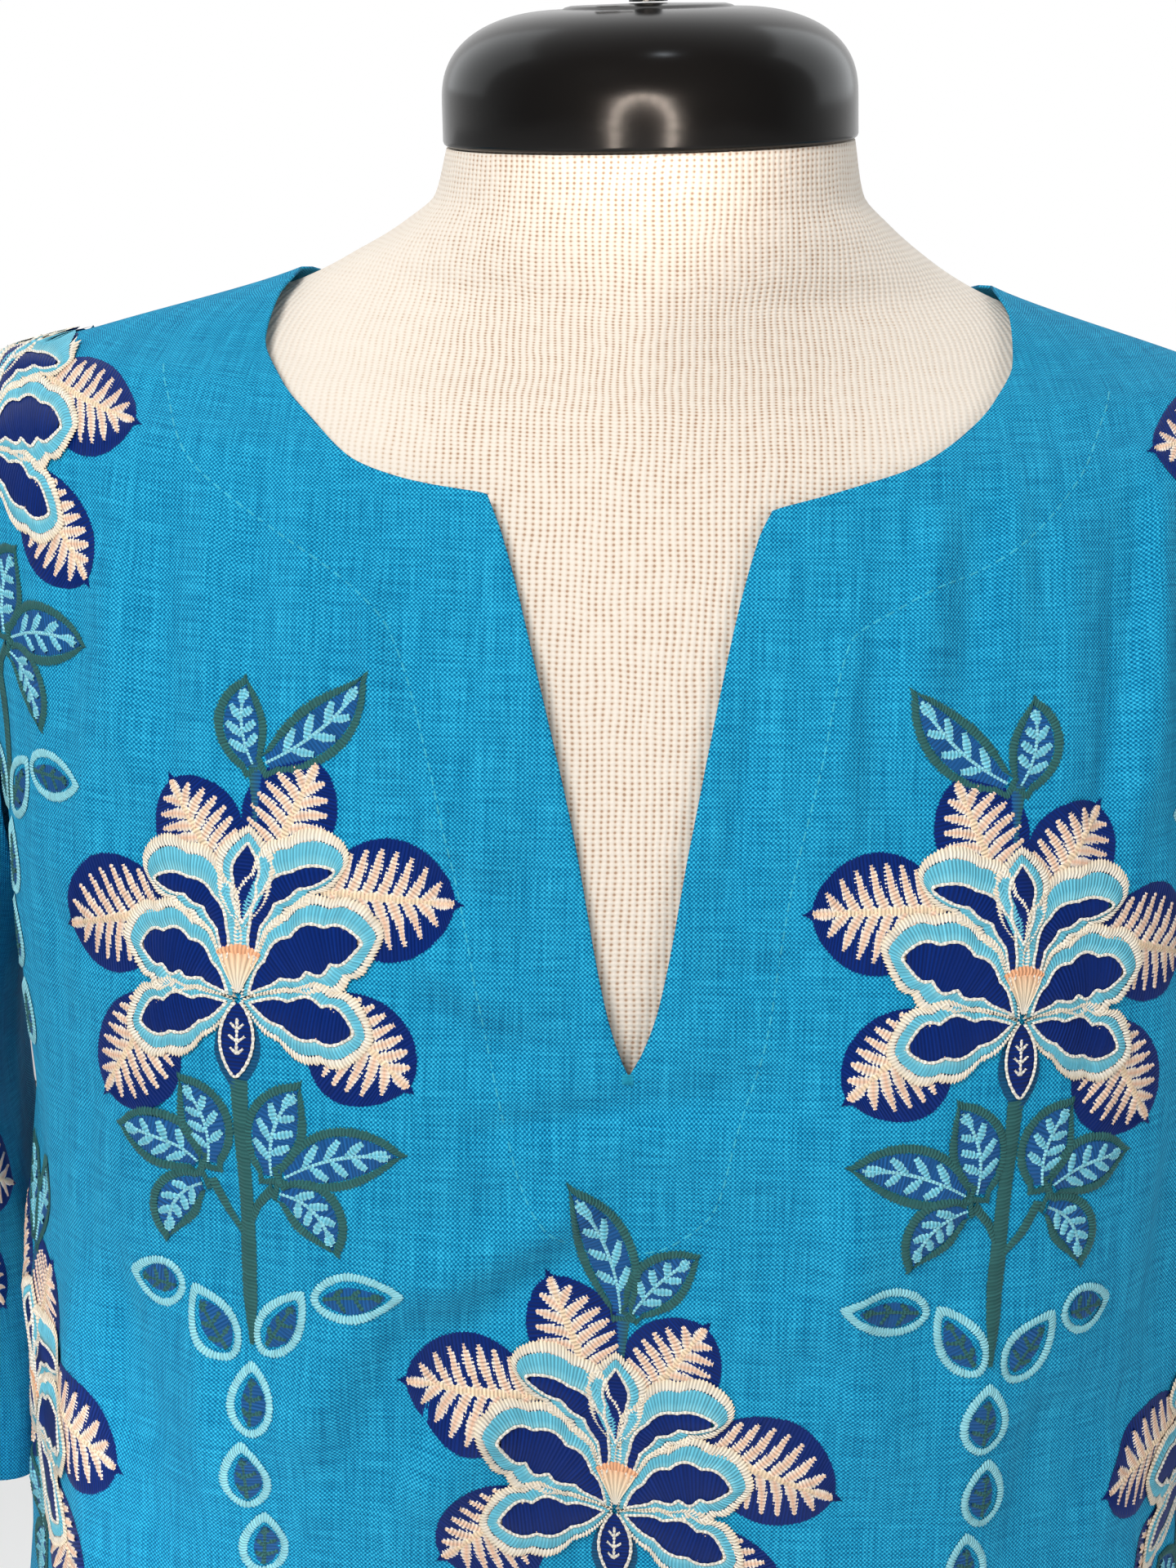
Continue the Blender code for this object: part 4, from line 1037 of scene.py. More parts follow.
def layered_petal(s, base, tip, left, right, bow, fullest, blunt, edge, band_left, band_right, lobes):
    """Inner petal: a scalloped cream edge round a blue band, and a navy heart outlined in chain."""
    outer = Leaf(base, tip, left, right, bow, fullest, blunt, 0.0, lobes, SCALLOP)
    first = outer.inset(0.6, edge, edge, edge)
    second = first.inset(1.6, 0.5 * (band_left + band_right), band_left, band_right)
    second.scallop = 1.6 * SCALLOP
    s.across(second, "navy", 1.05, 0.25)
    s.ring(first, second, ("blue", "blue", "pale"), 1.1, 0.25, 0.1)
    s.ring(outer, first, ("cream", "white"), 1.2, 0.3, 0.5)
    s.chain(second.outline(), lift=1.4)


def bud(s):
    """Dark bud under the petals, with chain stitches on it."""
    hull = Leaf((0.2, -1.5), (-0.6, -24.0), 6.2, 6.2, fullest=1.0, blunt=0.75)
    s.across(hull, "slate", 0.4, 0.3)
    heart = Leaf((0.1, -0.6), (-0.5, -20.5), 4.4, 4.4, fullest=1.0, blunt=0.7)
    s.across(heart, "navy", 0.85, 0.3)
    s.chain(heart.outline()[10:-10], lift=1.25, closed=False)
    s.chain(((0.0, -5.0), (-0.1, -14.5)), lift=1.3, closed=False)
    for top, half in ((-6.4, 1.7), (-9.6, 2.1), (-12.8, 1.7)):
        s.chain(((-half, top), (0.0, top - 1.7), (half, top)), width=0.8, lift=1.35, closed=False)


def fan(s):
    """Peach heart of the flower."""
    turn = np.radians(np.linspace(-27.0, 27.0, 13 if s.fine else 5))
    rim = np.stack((12.6 * np.sin(turn), 0.4 + 12.6 * np.cos(turn)), axis=1)
    root = np.stack((0.9 * np.sin(turn), 0.6 + 0.9 * np.cos(turn)), axis=1)
    s.satin(rim, root, np.arange(len(turn)) * 0.9, ("peach", "butter", "cream", "white"), 1.45, 0.3, 4, 0.2)
    top = np.stack((12.2 * np.sin(turn), 0.4 + 12.2 * np.cos(turn)), axis=1)
    s.band(top, (1.4, 3.0, 1.4), "peach", 1.6, 0.25, 0.2)


def veins(s, leaf, dabs, colour, widths, lift=0.75):
    """Short dabs from a leaf's middle towards its edges."""
    for k in range(dabs):
        t = 0.20 + 0.56 * k / (dabs - 1)
        for which in (1, -1):
            root = leaf.axis(t - 0.03 * which)
            end = root + (leaf.side(min(t + 0.17, 0.97), which) - root) * 0.86
            s.band((root, end), widths, colour, lift, 0.3, 0.2)


def green_leaf(s, base, tip, half, bow):
    outer = Leaf(base, tip, half, half, bow, 0.98, 0.72, 0.05)
    inner = outer.inset(2.0, 2.6, 2.5, 2.5)
    s.across(inner, "leaf", 0.35, 0.2)
    s.ring(outer, inner, "green", 0.55, 0.35, 0.35)
    s.band(inner.axis(np.linspace(0.02, 0.93, 12)), (0.8, 1.1, 1.0), "pale", 0.7, 0.3, 0.05)
    veins(s, inner, 4, ("pale", "blue", "pale"), (1.0, 2.5, 1.5))


def small_leaf(s, point, round_end, half):
    outer = Leaf(round_end, point, half, half, 0.0, 0.78, 0.72)
    inner = outer.inset(2.2, 3.2, 2.3, 2.3)
    s.ring(outer, inner, "pale", 0.55, 0.4, 0.35)
    heart = Leaf(inner.axis(0.04), inner.axis(0.93), inner.left * 0.62, inner.right * 0.98, 0.0, 0.85, 0.8)
    s.across(heart, "leaf", 0.35, 0.2)
    s.band(heart.axis(np.linspace(0.03, 0.95, 8)), (1.4, 0.9), "green", 0.65, 0.25, 0.2)
    veins(s, heart, 3, "green", (0.9, 1.7, 0.9), 0.65)


def stems(s):
    s.band(((0.2, -21), (1, -36), (2.6, -58), (3.4, -74), (4.6, -92)),
           (5.0, 4.2, 4.1, 4.3, 4.8, 4.4, 1.4), "green", 0.5, 0.6, 0.25, slant=0.5)
    for path in (((2, -63), (-3.5, -56.5), (-8, -48.5)), ((3.2, -60), (5.8, -53.5), (10.5, -48))):
        s.band(path, (1.6, 2.4, 2.8), "green", 0.45, 0.4, 0.2, slant=0.4)


def motif(pitch, pair):
    """One flower with its leaves: flat places and heights, faces, thread coordinates, colours."""
    s = Stitcher(pitch)
    for petal in OUTER_PETALS:
        fern_petal(s, *petal)
    s.across(Leaf((0.2, 8.0), (0.6, 34.0), 7.0, blunt=0.5), "blue", 0.7, 0.15)
    for petal in INNER_PETALS:
        layered_petal(s, *petal)
    bud(s)
    fan(s)
    stems(s)
    for leaf in SPRAY_LEAVES:
        green_leaf(s, *leaf)
    x, y = LEAF_PAIRS[pair][0][0]
    s.band(((x + 0.6, y - 15.0), (x + 0.3, y - 5.0), (x, y + 3.0)), (1.4, 2.8, 4.2), ("green", "leaf"),
           0.4, 0.3, 0.2)
    for leaf in LEAF_PAIRS[pair]:
        green_leaf(s, *leaf)
    for leaf in SMALL_LEAVES:
        small_leaf(s, *leaf)
    return s.arrays()


def lay_motifs(maker, art, places, to_cloth, inside):
    """Puts copies of a motif on the cloth and cuts them off at the panel's edges."""
    flat, faces, thread, colours = art
    for x, y, flip, slope, _ in places:
        across, fall, out = inside(x + flip * flat[:, 0], y - flat[:, 1] + slope * flat[:, 0])
        used, kept = np.unique(faces[~out[faces].all(axis=1)], return_inverse=True)
        kept = kept.reshape(-1, 4)
        if flip < 0:
            kept = kept[:, ::-1]
        points = to_cloth(across[used], fall[used], flat[used, 2])
        maker.add(points, kept, thread[used], colours[used])


# Room that the embroidery leaves to a seam or hem and to the neck and slit, and how far a
# stitch's fall may be from the one asked for
EDGE_ROOM = 0.5
OPENING_ROOM = 0.8
FALL_SLACK = 2.5


def panel_inside(panel):
    """Clamps places to a panel's outline, and says which lay outside it."""
    necks, slits = {}, {}
    levels = np.arange(40.0, SLIT_END_DROP + 4.0, 2.0)
    for side in (-1, 1):
        length, drop = (part[:NECK_CELLS + 1] for part in top_edge(panel, side))
        order = np.argsort(drop)
        necks[side] = drop[order], length[order]
        slits[side] = 0 * levels if panel.behind else length_at(panel, slit_half(side, levels), levels)

    def inside(across, fall):
        drop = panel.drop_of(across, np.clip(fall, panel.fall.min(), panel.fall.max()))
        side = np.where(across < 0, -1, 1)
        size = np.abs(across)
        length = np.interp(drop, panel.drops, panel.lengths)
        outer = np.minimum(panel_edge(panel, drop), length) - EDGE_ROOM
        low = np.zeros_like(size)
        for s in (-1, 1):
            neck = np.interp(drop, *necks[s], right=0.0)
            slit = np.interp(drop, levels, slits[s], right=0.0)
            low = np.where(side == s, np.maximum(neck, slit), low)
        low = np.where(low > 0.0, low + OPENING_ROOM, 0.0)
        hem = HEM_DROP - EDGE_ROOM
        missed = np.abs(panel.read(panel.fall, across, drop) - fall) > FALL_SLACK
        out = (size > outer) | (size < low) | (drop > hem) | missed
        size = np.clip(size, low, np.maximum(outer, low))
        return side * size, np.minimum(drop, hem), out

    return inside


def sleeve_inside(sleeve):
    """The same for a sleeve."""
    end = sleeve.hem_fall - 1.0
    half = 0.5 * sleeve.girth.mean()

    def inside(across, fall):
        top = sleeve.hem_fall - sleeve.column(across)[1] + 2.0
        out = (fall < top) | (fall > end) | (np.abs(across) > half)
        return across, np.clip(fall, top, end), out

    return inside


# Running stitch that holds the facing: drop, distance on the wearer's right and left
FACING_ROWS = (
    (62, 139, 133), (82, 124, 117), (98, 97, 98), (110, 75.6, 70), (120, 65, 53.8), (150, 54, 47.1),
    (183, 45.2, 40), (217.5, 37.5, 35.3), (244, 31, 28), (262, 25, 23.5), (274, 12, 11), (276, 0.1, 0.1),
)
# Length, gap and width of the stitches of the facing, the bar tack and the hem
FACING_STITCH = (2.3, 1.3, 0.42)
TACK_STITCH = (3.0, 0.3, 0.45)
HEM_STITCH = (2.4, 0.9, 0.5)
TACK_STITCHES = 7
TACK_STEP = 0.35
HEM_STITCHES_UP = 16.0


def dashes(maker, panel, path, length, gap, width, colour, height=0.3):
    """Short stitches along a path of distances and drops on a panel."""
    path, run = resample(path, 0.5)
    period = length + gap
    rise = height * np.array([0.1, 0.9, 1.0, 0.9, 0.1])
    lift = np.stack((0 * rise, rise, 0 * rise), axis=1).ravel() + 0.04
    for k in range(int(run[-1] / period)):
        spot = read_rows(np.linspace(k * period, k * period + length, len(rise)), run, path)
        half = sideways(spot) * 0.5 * width
        flat = np.stack((spot + half, spot, spot - half), axis=1).reshape(-1, 2)
        colours = np.tile(np.array(THREADS[colour]) * RANDOM.normal(1.0, 0.06), (len(flat), 1))
        maker.add(panel.place(*flat.T, lift), grid_faces(numbers(len(rise), 3)), flat * 0.1, colours)


def sewing():
    """Facing stitches, the bar tack at the slit's foot and the hem's line of stitches."""
    maker = Maker()
    rows = np.array(FACING_ROWS)
    fine = np.linspace(rows[0, 0], rows[-1, 0], 140)
    for side, column in ((-1, 1), (1, 2)):
        across = side * smooth_curve(rows, column)(fine)
        dashes(maker, FRONT, np.column_stack((across, fine)), *FACING_STITCH, "stitch", 0.22)
    for k in range(TACK_STITCHES):
        level = SLIT_END_DROP - 0.4 + TACK_STEP * k
        dashes(maker, FRONT, ((-1.7, level), (1.9, level + 0.1)), *TACK_STITCH, "linen", 0.45)
    level = HEM_DROP - HEM_STITCHES_UP
    for panel in (FRONT, BACK):
        half = float(panel_edge(panel, np.array([level]))[0]) - 2.0
        line = np.linspace(-half, half, 200)
        dashes(maker, panel, np.column_stack((line, np.full(200, level))), *HEM_STITCH, "linen")
    return maker


def socket(node, name, value):
    node.inputs[name].default_value = value


class Nodes:
    """Short ways to add nodes to one tree."""

    def __init__(self, tree):
        self.tree = tree

    def new(self, kind):
        return self.tree.nodes.new("ShaderNode" + kind)

    def link(self, start, end):
        self.tree.links.new(start, end)

    def math(self, kind, *values):
        node = self.new("Math")
        node.operation = kind
        for place, value in enumerate(values):
            if isinstance(value, (int, float)):
                node.inputs[place].default_value = value
            else:
                self.link(value, node.inputs[place])
        return node.outputs[0]

    def flat(self):
        """Flat coordinates of the cloth, in millimetres."""
        node = self.new("UVMap")
        node.uv_map = "cut"
        parts = self.new("SeparateXYZ")
        self.link(node.outputs["UV"], parts.inputs[0])
        return parts.outputs["X"], parts.outputs["Y"]

    def noise(self, x, y, scale_x, scale_y, detail=2.0):
        """Noise over flat coordinates; each scale is the size of its grain in millimetres."""
        join = self.new("CombineXYZ")
        self.link(self.math("DIVIDE", x, scale_x), join.inputs[0])
        self.link(self.math("DIVIDE", y, scale_y), join.inputs[1])
        node = self.new("TexNoise")
        node.noise_dimensions = "2D"
        socket(node, "Scale", 1.0)
        socket(node, "Detail", detail)
        self.link(join.outputs[0], node.inputs["Vector"])
        return node.outputs["Fac"]

    def ramp(self, value, stops):
        node = self.new("ValToRGB")
        self.link(value, node.inputs["Fac"])
        first, last = node.color_ramp.elements
        first.position, first.color = stops[0][0], (*stops[0][1], 1.0)
        last.position, last.color = stops[-1][0], (*stops[-1][1], 1.0)
        for place, colour in stops[1:-1]:
            node.color_ramp.elements.new(place).color = (*colour, 1.0)
        return node.outputs["Color"]

    def bump(self, shader, height, strength, distance):
        node = self.new("Bump")
        socket(node, "Strength", strength)
        socket(node, "Distance", distance)
        self.link(height, node.inputs["Height"])
        self.link(node.outputs["Normal"], shader.inputs["Normal"])


def new_material(name):
    material = bpy.data.materials.new(name)
    material.use_nodes = True
    return material, Nodes(material.node_tree), material.node_tree.nodes["Principled BSDF"]


# Length of a repeat of the linen's weave and of the jersey's wales and courses
WEAVE = 1.16
KNIT_WALE = 2.0
KNIT_COURSE = 1.42


def linen_material():
    """Plain weave with slubs: bumps of thread with painted shade in the gaps between them, uneven thread by
    thread.
    """
    material, nodes, shader = new_material("turquoise_linen")
    u, v = nodes.flat()
    wobble_u = nodes.math("MULTIPLY_ADD", nodes.noise(u, v, 9.0, 9.0), 0.9, u)
    wobble_v = nodes.math("MULTIPLY_ADD", nodes.noise(v, u, 11.0, 11.0), 0.9, v)
    turn = 2.0 * math.pi / WEAVE
    warp = nodes.math("SINE", nodes.math("MULTIPLY", wobble_u, turn))
    weft = nodes.math("SINE", nodes.math("MULTIPLY", wobble_v, turn))
    # Painted shade: the weave's crossings set the colour, darker between the threads.
    cell = nodes.math("MULTIPLY_ADD", nodes.math("MULTIPLY", warp, weft), 0.5, 0.5)
    across = nodes.noise(u, v, 14.0, 0.55)
    along = nodes.noise(u, v, 0.55, 16.0)
    cloud = nodes.noise(u, v, 4.2, 75.0, 3.0)
    slub = nodes.math("ADD", nodes.math("MULTIPLY", across, 0.26), nodes.math("MULTIPLY", along, 0.24))
    mix = nodes.math("MULTIPLY_ADD", cell, 0.50, slub)
    mix = nodes.math("MULTIPLY_ADD", cloud, 0.10, mix)
    # The ramp's dark end is painted shade between the threads; the slubs and cloud are the thread's own
    # uneven tone.
    colour = nodes.ramp(mix, (
        (0.28, (0.0014, 0.060, 0.155)),
        (0.55, (0.0045, 0.214, 0.415)),
        (0.80, (0.042, 0.500, 0.760)),
    ))
    nodes.link(colour, shader.inputs["Base Color"])
    socket(shader, "Roughness", 0.85)
    socket(shader, "Specular IOR Level", 0.12)
    socket(shader, "Sheen Weight", 0.05)
    socket(shader, "Sheen Roughness", 0.5)
    socket(shader, "Sheen Tint", (0.35, 0.8, 1.0, 1.0))
    nodes.bump(shader, mix, 0.8, 0.0006)
    return material


def thread_material():
    """Mercerised embroidery thread: the colour is sewn into the mesh, the shader adds strands."""
    material, nodes, shader = new_material("embroidery_thread")
    colour = nodes.new("VertexColor")
    colour.layer_name = "thread"
    u, v = nodes.flat()
    strand = nodes.noise(u, v, 4.0, 0.16, 1.0)
    shade = nodes.new("Mix")
    shade.data_type = "RGBA"
    shade.blend_type = "MULTIPLY"
    shade.inputs[0].default_value = 0.35
    grey = nodes.ramp(strand, ((0.3, (0.62, 0.62, 0.62)), (0.7, (1.0, 1.0, 1.0))))
    nodes.link(colour.outputs["Color"], shade.inputs[6])
    nodes.link(grey, shade.inputs[7])
    nodes.link(shade.outputs[2], shader.inputs["Base Color"])
    socket(shader, "Roughness", 0.52)
    socket(shader, "Specular IOR Level", 0.22)
    ridge = nodes.math("SINE", nodes.math("MULTIPLY", v, 2.0 * math.pi / STITCH))
    nodes.bump(shader, nodes.math("ADD", ridge, strand), 0.35, 0.00025)
    return material


# Painted shade in the jersey's holes: full within a distance of the front middle, then fading at a given
# rate towards the sides
KNIT_HOLE_SHADE_HALF = 46.0
KNIT_HOLE_SHADE_FADE = 0.0062


def knit_material():
    """Cream jersey: upright wales, with painted shade in a small hole at each loop."""
    material, nodes, shader = new_material("cream_jersey")
    u, v = nodes.flat()
    bend_u = nodes.math("MULTIPLY_ADD", nodes.noise(u, v, 22.0, 30.0), 2.4, u)
    bend_v = nodes.math("MULTIPLY_ADD", nodes.noise(v, u, 30.0, 22.0), 2.0, v)
    wale = nodes.math("COSINE", nodes.math("MULTIPLY", bend_u, 2.0 * math.pi / KNIT_WALE))
    course = nodes.math("COSINE", nodes.math("MULTIPLY", bend_v, 2.0 * math.pi / KNIT_COURSE))
    both = nodes.math("MULTIPLY_ADD", wale, 0.30, nodes.math("MULTIPLY", course, 0.20))
    uneven = nodes.noise(u, v, 5.0, 5.0, 3.0)
    level = nodes.math("MULTIPLY_ADD", uneven, 0.34, nodes.math("SUBTRACT", 0.33, both))
    cloud = nodes.noise(u, v, 60.0, 60.0)
    level = nodes.math("MULTIPLY_ADD", cloud, 0.06, level)
    # Painted shade of the holes fades past this distance from the front middle.
    past_hole_shade_half = nodes.math("SUBTRACT", nodes.math("ABSOLUTE", u), KNIT_HOLE_SHADE_HALF)
    closed = nodes.math("MULTIPLY", past_hole_shade_half, KNIT_HOLE_SHADE_FADE)
    closed = nodes.math("MINIMUM", nodes.math("MAXIMUM", closed, 0.0), 0.30)
    level = nodes.math("ADD", level, closed)
    # The ramp's dark end is painted shade in the holes and between the loops.
    colour = nodes.ramp(level, (
        (0.06, (0.34, 0.22, 0.15)),
        (0.22, (0.54, 0.42, 0.32)),
        (0.34, (0.63, 0.545, 0.46)),
        (0.80, (0.695, 0.635, 0.565)),
    ))
    nodes.link(colour, shader.inputs["Base Color"])
    socket(shader, "Roughness", 0.9)
    socket(shader, "Specular IOR Level", 0.15)
    socket(shader, "Sheen Weight", 0.1)
    nodes.bump(shader, level, 0.5, 0.0005)
    return material


def gloss_material(name, colour, roughness, metallic, specular=0.5, grain=30.0):
    """Smooth hard surface whose gloss is a little uneven."""
    material, nodes, shader = new_material(name)
    place = nodes.new("TexCoord")
    node = nodes.new("TexNoise")
    socket(node, "Scale", grain)
    socket(node, "Detail", 3.0)
    nodes.link(place.outputs["Object"], node.inputs["Vector"])
    uneven = nodes.math("MULTIPLY_ADD", node.outputs["Fac"], 0.08, roughness - 0.04)
    nodes.link(uneven, shader.inputs["Roughness"])
    dark = tuple(0.85 * c for c in colour)
    nodes.link(nodes.ramp(node.outputs["Fac"], ((0.3, dark), (0.7, colour))), shader.inputs["Base Color"])
    socket(shader, "Metallic", metallic)
    socket(shader, "Specular IOR Level", specular)
    return material


# Points round the form, depth of its neck's closer levels, step of the others and its end
FORM_AROUND = 180
FORM_NECK = 60.0
FORM_LEVEL = 3.5
FORM_END = 700.0


def form_ring(drop):
    """Points of one level of the form, by the front, and their lengths from the middle."""
    shares = np.linspace(0.0, 1.0, FORM_AROUND // 4 + 1)
    fx, fy, front = FORM.row(shares, drop, False, 0.0)
    bx, by, back = FORM.row(shares, drop, True, 0.0)
    x = np.concatenate((fx, bx[-2::-1]))
    y = np.concatenate((-fy, by[-2::-1]))
    length = np.concatenate((shares * front, front + (1.0 - shares[-2::-1]) * back))
    x, length = (np.concatenate((-half[:0:-1], half)) for half in (x, length))
    y = np.concatenate((y[:0:-1], y))
    lean = max(0.0, 1.0 - drop / CAP_LEAN_DEPTH) * math.tan(CAP_LEAN)
    return np.stack((x, y, NECK_TOP - drop + x * lean), axis=1), length


def form_piece(material):
    """The form's jersey skin, closed at the neck and the foot."""
    drops = np.concatenate((
        np.linspace(0.0, FORM_NECK, 41), np.arange(FORM_NECK + 2.0, FORM_END, FORM_LEVEL), [FORM_END],
    ))
    rings, lengths = zip(*(form_ring(drop) for drop in drops))
    base, lengths = np.array(rings), np.array(lengths)
    fall = np.broadcast_to(run_along(base).mean(axis=1)[:, None], lengths.shape)
    count = lengths.shape[1]
    total = lengths.size
    points = [base.reshape(-1, 3)]
    flat = [np.stack((lengths, fall), axis=2).reshape(-1, 2)]
    faces = [grid_faces(numbers(len(base), count))]
    for row, turn in ((0, 1), (len(base) - 1, -1)):
        ring = base[row]
        centre = ring.mean(axis=0)
        previous = np.arange(count) + row * count
        for share in (0.6, 0.2):
            inner = centre + (ring - centre) * share
            now = np.arange(count) + total
            total += count
            points.append(inner)
            flat.append(inner[:, :2])
            faces.append(grid_faces(np.stack((now, previous)[::turn])))
            previous = now
        half = count // 2
        fold = np.stack((previous[:half], previous[::-1][:half]))
        faces.append(grid_faces(fold[::-turn]))
    maker = Maker()
    maker.add(np.concatenate(points), np.concatenate(faces), np.concatenate(flat))
    return maker.build("form_jersey", material, "knit", ("form_torso",))


# The neck cap's sizes and the fineness of its dome and turn
CAP_RADIUS = 58.0
CAP_HEIGHT = 38.0
CAP_TOP_RADIUS = 24.0
CAP_RIM_STEP = 1.4
CAP_WALL_SHARE = 0.31
CAP_CURVE = 28
CAP_AROUND = 128


def cap_profile():
    """Outline of the cap from the middle of its top to the middle of its foot."""
    wall = CAP_WALL_SHARE * CAP_HEIGHT
    crown = CAP_HEIGHT - CAP_RIM_STEP
    top = (
        (0.01, CAP_HEIGHT), (CAP_TOP_RADIUS - 2.4, CAP_HEIGHT - 0.5),
        (CAP_TOP_RADIUS - 0.8, CAP_HEIGHT - 0.9), (CAP_TOP_RADIUS, crown),
    )
    angle = 0.5 * math.pi * (1.0 - np.arange(1, CAP_CURVE + 1) / CAP_CURVE)
    across = CAP_TOP_RADIUS + (CAP_RADIUS - CAP_TOP_RADIUS) * np.cos(angle) ** 0.92
    dome = np.column_stack((across, wall + (crown - wall) * np.sin(angle) ** 0.80))
    foot = (
        (CAP_RADIUS, 1.6), (CAP_RADIUS - 0.3, 0.8), (CAP_RADIUS - 1.2, 0.1), (CAP_RADIUS - 4.0, 0.0),
        (0.01, 0.0),
    )
    return np.concatenate((top, dome, foot))


def cap_piece(material):
    """The neck cap turned finer than its solid."""
    profile = cap_profile()
    turn = np.linspace(0.0, 2.0 * math.pi, CAP_AROUND, endpoint=False)
    x, y = profile[:, :1] * np.cos(turn), profile[:, :1] * np.sin(turn)
    z = np.broadcast_to(profile[:, 1:], x.shape)
    lean = np.array(Matrix.Rotation(-CAP_LEAN, 3, "Y"))
    points = np.stack((x, y, z), axis=2).reshape(-1, 3) @ lean.T
    points[:, 2] += NECK_TOP + PART_GAP
    maker = Maker()
    maker.add(points, grid_faces(numbers(len(profile), CAP_AROUND), closed=True), points[:, :2])
    return maker.build("neck_cap_shell", material, "cap", ("neck_cap",))


def dress_cad(names, material):
    """Gives CAD nodes that stay in the scene their material."""
    for name in names:
        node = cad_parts[name]
        node.data.materials.clear()
        node.data.materials.append(material)


def pale_floor():
    bpy.ops.mesh.primitive_plane_add(size=8.0, location=(0.0, 0.0, -0.0005))
    floor = bpy.context.object
    floor.name = "floor"
    material, _, shader = new_material("pale_floor")
    socket(shader, "Base Color", (0.96, 0.96, 0.96, 1.0))
    socket(shader, "Roughness", 0.9)
    floor.data.materials.append(material)


def studio():
    """A pale room, darker behind the camera."""
    scene = bpy.context.scene
    world = bpy.data.worlds.new("studio")
    scene.world = world
    world.use_nodes = True
    back = world.node_tree.nodes["Background"]
    nodes = Nodes(world.node_tree)
    parts = nodes.new("SeparateXYZ")
    nodes.link(nodes.new("TexCoord").outputs["Generated"], parts.inputs[0])
    behind = nodes.math("MULTIPLY_ADD", parts.outputs["Y"], 0.5, 0.5)
    colour = nodes.ramp(behind, ((0.35, (0.14, 0.145, 0.15)), (0.90, (1.0, 1.0, 1.0))))
    nodes.link(colour, back.inputs["Color"])
    socket(back, "Strength", 1.0)
    scene.view_settings.view_transform = "Standard"
    scene.view_settings.look = "None"


CHEST = (0.0, 0.0, 0.74)
NECK = (0.0, 0.0, 0.84)
LEFT_SLEEVE = (-0.190, 0.0, 0.545)
CAP_FRONT = (0.0, -0.055, 0.935)
CAP_CROWN = (0.0, -0.04, 0.925)
# Lights: name, place, aim, width, height, watts, spread in degrees, colour
LIGHTS = [
    ("key", (-0.76, -1.36, 1.92), CHEST, 0.80, 0.70, 38.5, 180, (1.0, 0.98, 0.95)),
    ("low", (0.02, -1.12, 0.32), LEFT_SLEEVE, 0.12, 0.12, 0.036, 9, (1.0, 0.99, 0.97)),
    ("fill", (0.90, -1.40, 1.05), CHEST, 0.90, 0.90, 8.0, 180, (1.0, 0.98, 0.96)),
    ("top", (0.07, -0.50, 2.24), CAP_CROWN, 0.50, 0.50, 0.035, 5, (0.84, 0.92, 1.0)),
    ("rim_left", (-0.80, 0.55, 1.35), NECK, 1.00, 1.00, 2.5, 180, (0.92, 0.97, 1.0)),
    ("rim_right", (0.80, 0.55, 1.35), NECK, 1.00, 1.00, 3.5, 180, (0.92, 0.97, 1.0)),
]
# Lamps that glossy surfaces don't mirror
UNMIRRORED = ("key", "fill")
# Lamps of the warm arch that the cap mirrors: its legs, then its round top
ARCH_PLACE = (-0.075, -1.05, 0.73)
ARCH_HALF = 0.29
ARCH_SPOTS = [(side * ARCH_HALF, -step) for side in (-1, 1) for step in (0.13, 0.26)]
ARCH_SPOTS += [
    (ARCH_HALF * math.cos(math.pi * k / 8.0), ARCH_HALF * math.sin(math.pi * k / 8.0)) for k in range(9)
]
LIGHTS += [
    (
        f"arch_{k}", (ARCH_PLACE[0] + x, ARCH_PLACE[1], ARCH_PLACE[2] + z), CAP_FRONT,
        0.04, 0.09, 0.0026, 5, (1.0, 0.84, 0.72),
    )
    for k, (x, z) in enumerate(ARCH_SPOTS)
]


def lamps():
    for name, place, aim, width, height, power, spread, colour in LIGHTS:
        light = bpy.data.lights.new(name, "AREA")
        light.shape = "RECTANGLE"
        light.size = width
        light.size_y = height
        light.energy = power
        light.spread = math.radians(spread)
        light.color = colour
        lamp = bpy.data.objects.new(name, light)
        lamp.location = place
        lamp.rotation_euler = (Vector(aim) - Vector(place)).to_track_quat("-Z", "Y").to_euler()
        lamp.visible_glossy = name not in UNMIRRORED
        bpy.context.scene.collection.objects.link(lamp)


CAMERA_PLACE = (-0.0125, -0.95, 0.942)
CAMERA_PITCH = math.radians(13.9)
CAMERA_ROLL = math.radians(1.6)
FOCAL_PIXELS = 4090.0
FRAME_WIDTH_PIXELS = 1440.0


def camera():
    """A close view of the neck and chest, as in the photograph."""
    data = bpy.data.cameras.new("camera")
    data.sensor_fit = "HORIZONTAL"
    data.sensor_width = 36.0
    data.lens = FOCAL_PIXELS / FRAME_WIDTH_PIXELS * data.sensor_width
    data.clip_end = 50.0
    thing = bpy.data.objects.new("camera", data)
    ahead = Vector((0.0, math.cos(CAMERA_PITCH), -math.sin(CAMERA_PITCH)))
    right = Vector((1.0, 0.0, 0.0))
    up = right.cross(ahead)
    turned_right = right * math.cos(CAMERA_ROLL) + up * math.sin(CAMERA_ROLL)
    turned_up = up * math.cos(CAMERA_ROLL) - right * math.sin(CAMERA_ROLL)
    matrix = Matrix((turned_right, turned_up, -ahead)).transposed().to_4x4()
    matrix.translation = Vector(CAMERA_PLACE)
    thing.matrix_world = matrix
    bpy.context.scene.collection.objects.link(thing)
    bpy.context.scene.camera = thing


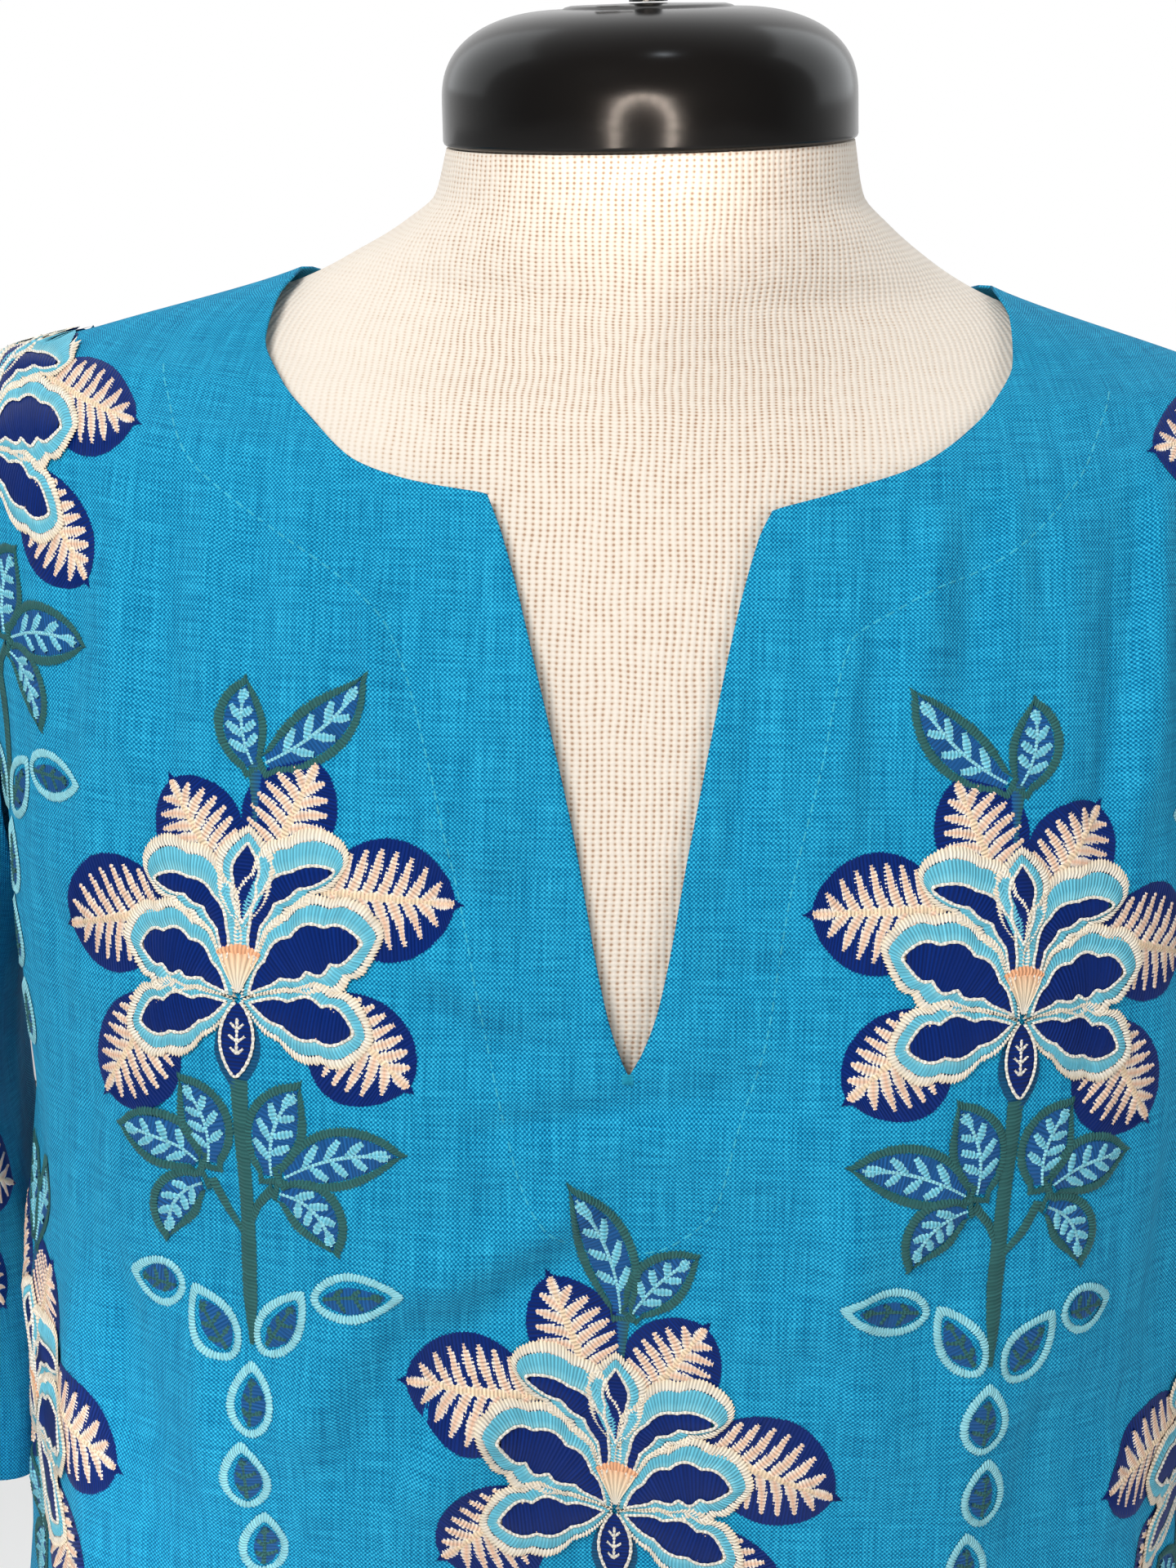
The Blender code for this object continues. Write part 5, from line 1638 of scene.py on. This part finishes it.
# Embroidery pieces: name, panel, stitch, lowest and highest distance, lowest and highest fall
EMBROIDERY = (
    ("embroidery_front_left", FRONT, STITCH, -300, -1, 40, 370),
    ("embroidery_front_middle", FRONT, STITCH, -1, 1, 200, 370),
    ("embroidery_front_right", FRONT, STITCH, 1, 300, 40, 370),
    ("embroidery_front_low", FRONT, COARSE_STITCH, -300, 300, 370, 720),
    ("embroidery_back_upper", BACK, COARSE_STITCH, -300, 300, 40, 330),
    ("embroidery_back_lower", BACK, COARSE_STITCH, -300, 300, 330, 720),
)


def embroidery(arts, material):
    """Fine stitches where the photograph shows them, coarser ones on the rest."""
    pieces = {"front": [], "back": []}
    insides = {"front": panel_inside(FRONT), "back": panel_inside(BACK)}
    for name, panel, pitch, left, right, low, high in EMBROIDERY:
        maker = Maker()
        for pair in (0, 1):
            places = [
                place for place in flower_places(low, high)
                if left <= place[0] <= right and place[-1] == pair
            ]
            lay_motifs(maker, arts[pitch, pair], places, panel.place, insides[panel.name])
        pieces[panel.name].append(maker.build(name, material, "thread"))
    return pieces


def main():
    linen = linen_material()
    thread = thread_material()
    front = body_panel("front_cloth", FRONT, linen, "blouse_front")
    back = body_panel("back_cloth", BACK, linen, "blouse_back")
    arts = {
        (pitch, pair): motif(pitch, pair)
        for pitch in (STITCH, COARSE_STITCH) for pair in (0, 1)
    }
    work = embroidery(arts, thread)
    work["front"].append(sewing().build("sewing", thread, "thread"))
    for name, side in (("left", 1), ("right", -1)):
        sleeve = Sleeve(side)
        cloth = sleeve.build(f"sleeve_{name}_cloth", linen, f"sleeve_{name}")
        maker = Maker()
        places = [(side * x, y, side * flip, 0.0, 0) for x, y, flip in SLEEVE_FLOWERS]
        lay_motifs(maker, arts[COARSE_STITCH, 0], places, sleeve.place, sleeve_inside(sleeve))
        stitches = maker.build(f"embroidery_sleeve_{name}", thread, "thread")
    form_piece(knit_material())
    cap_piece(gloss_material("black_gloss", (0.0040, 0.0037, 0.0036), 0.20, 0.0, 0.22))
    dress_cad(("cap_post", "cap_screw"), gloss_material("dark_steel", (0.06, 0.06, 0.06), 0.30, 0.9))
    dress_cad(("stand_pole", "stand_base"), gloss_material("black_satin", (0.012, 0.012, 0.013), 0.40, 0.2))
    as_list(work["front"])
    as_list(work["back"])
    pale_floor()
    studio()
    lamps()
    camera()


main()
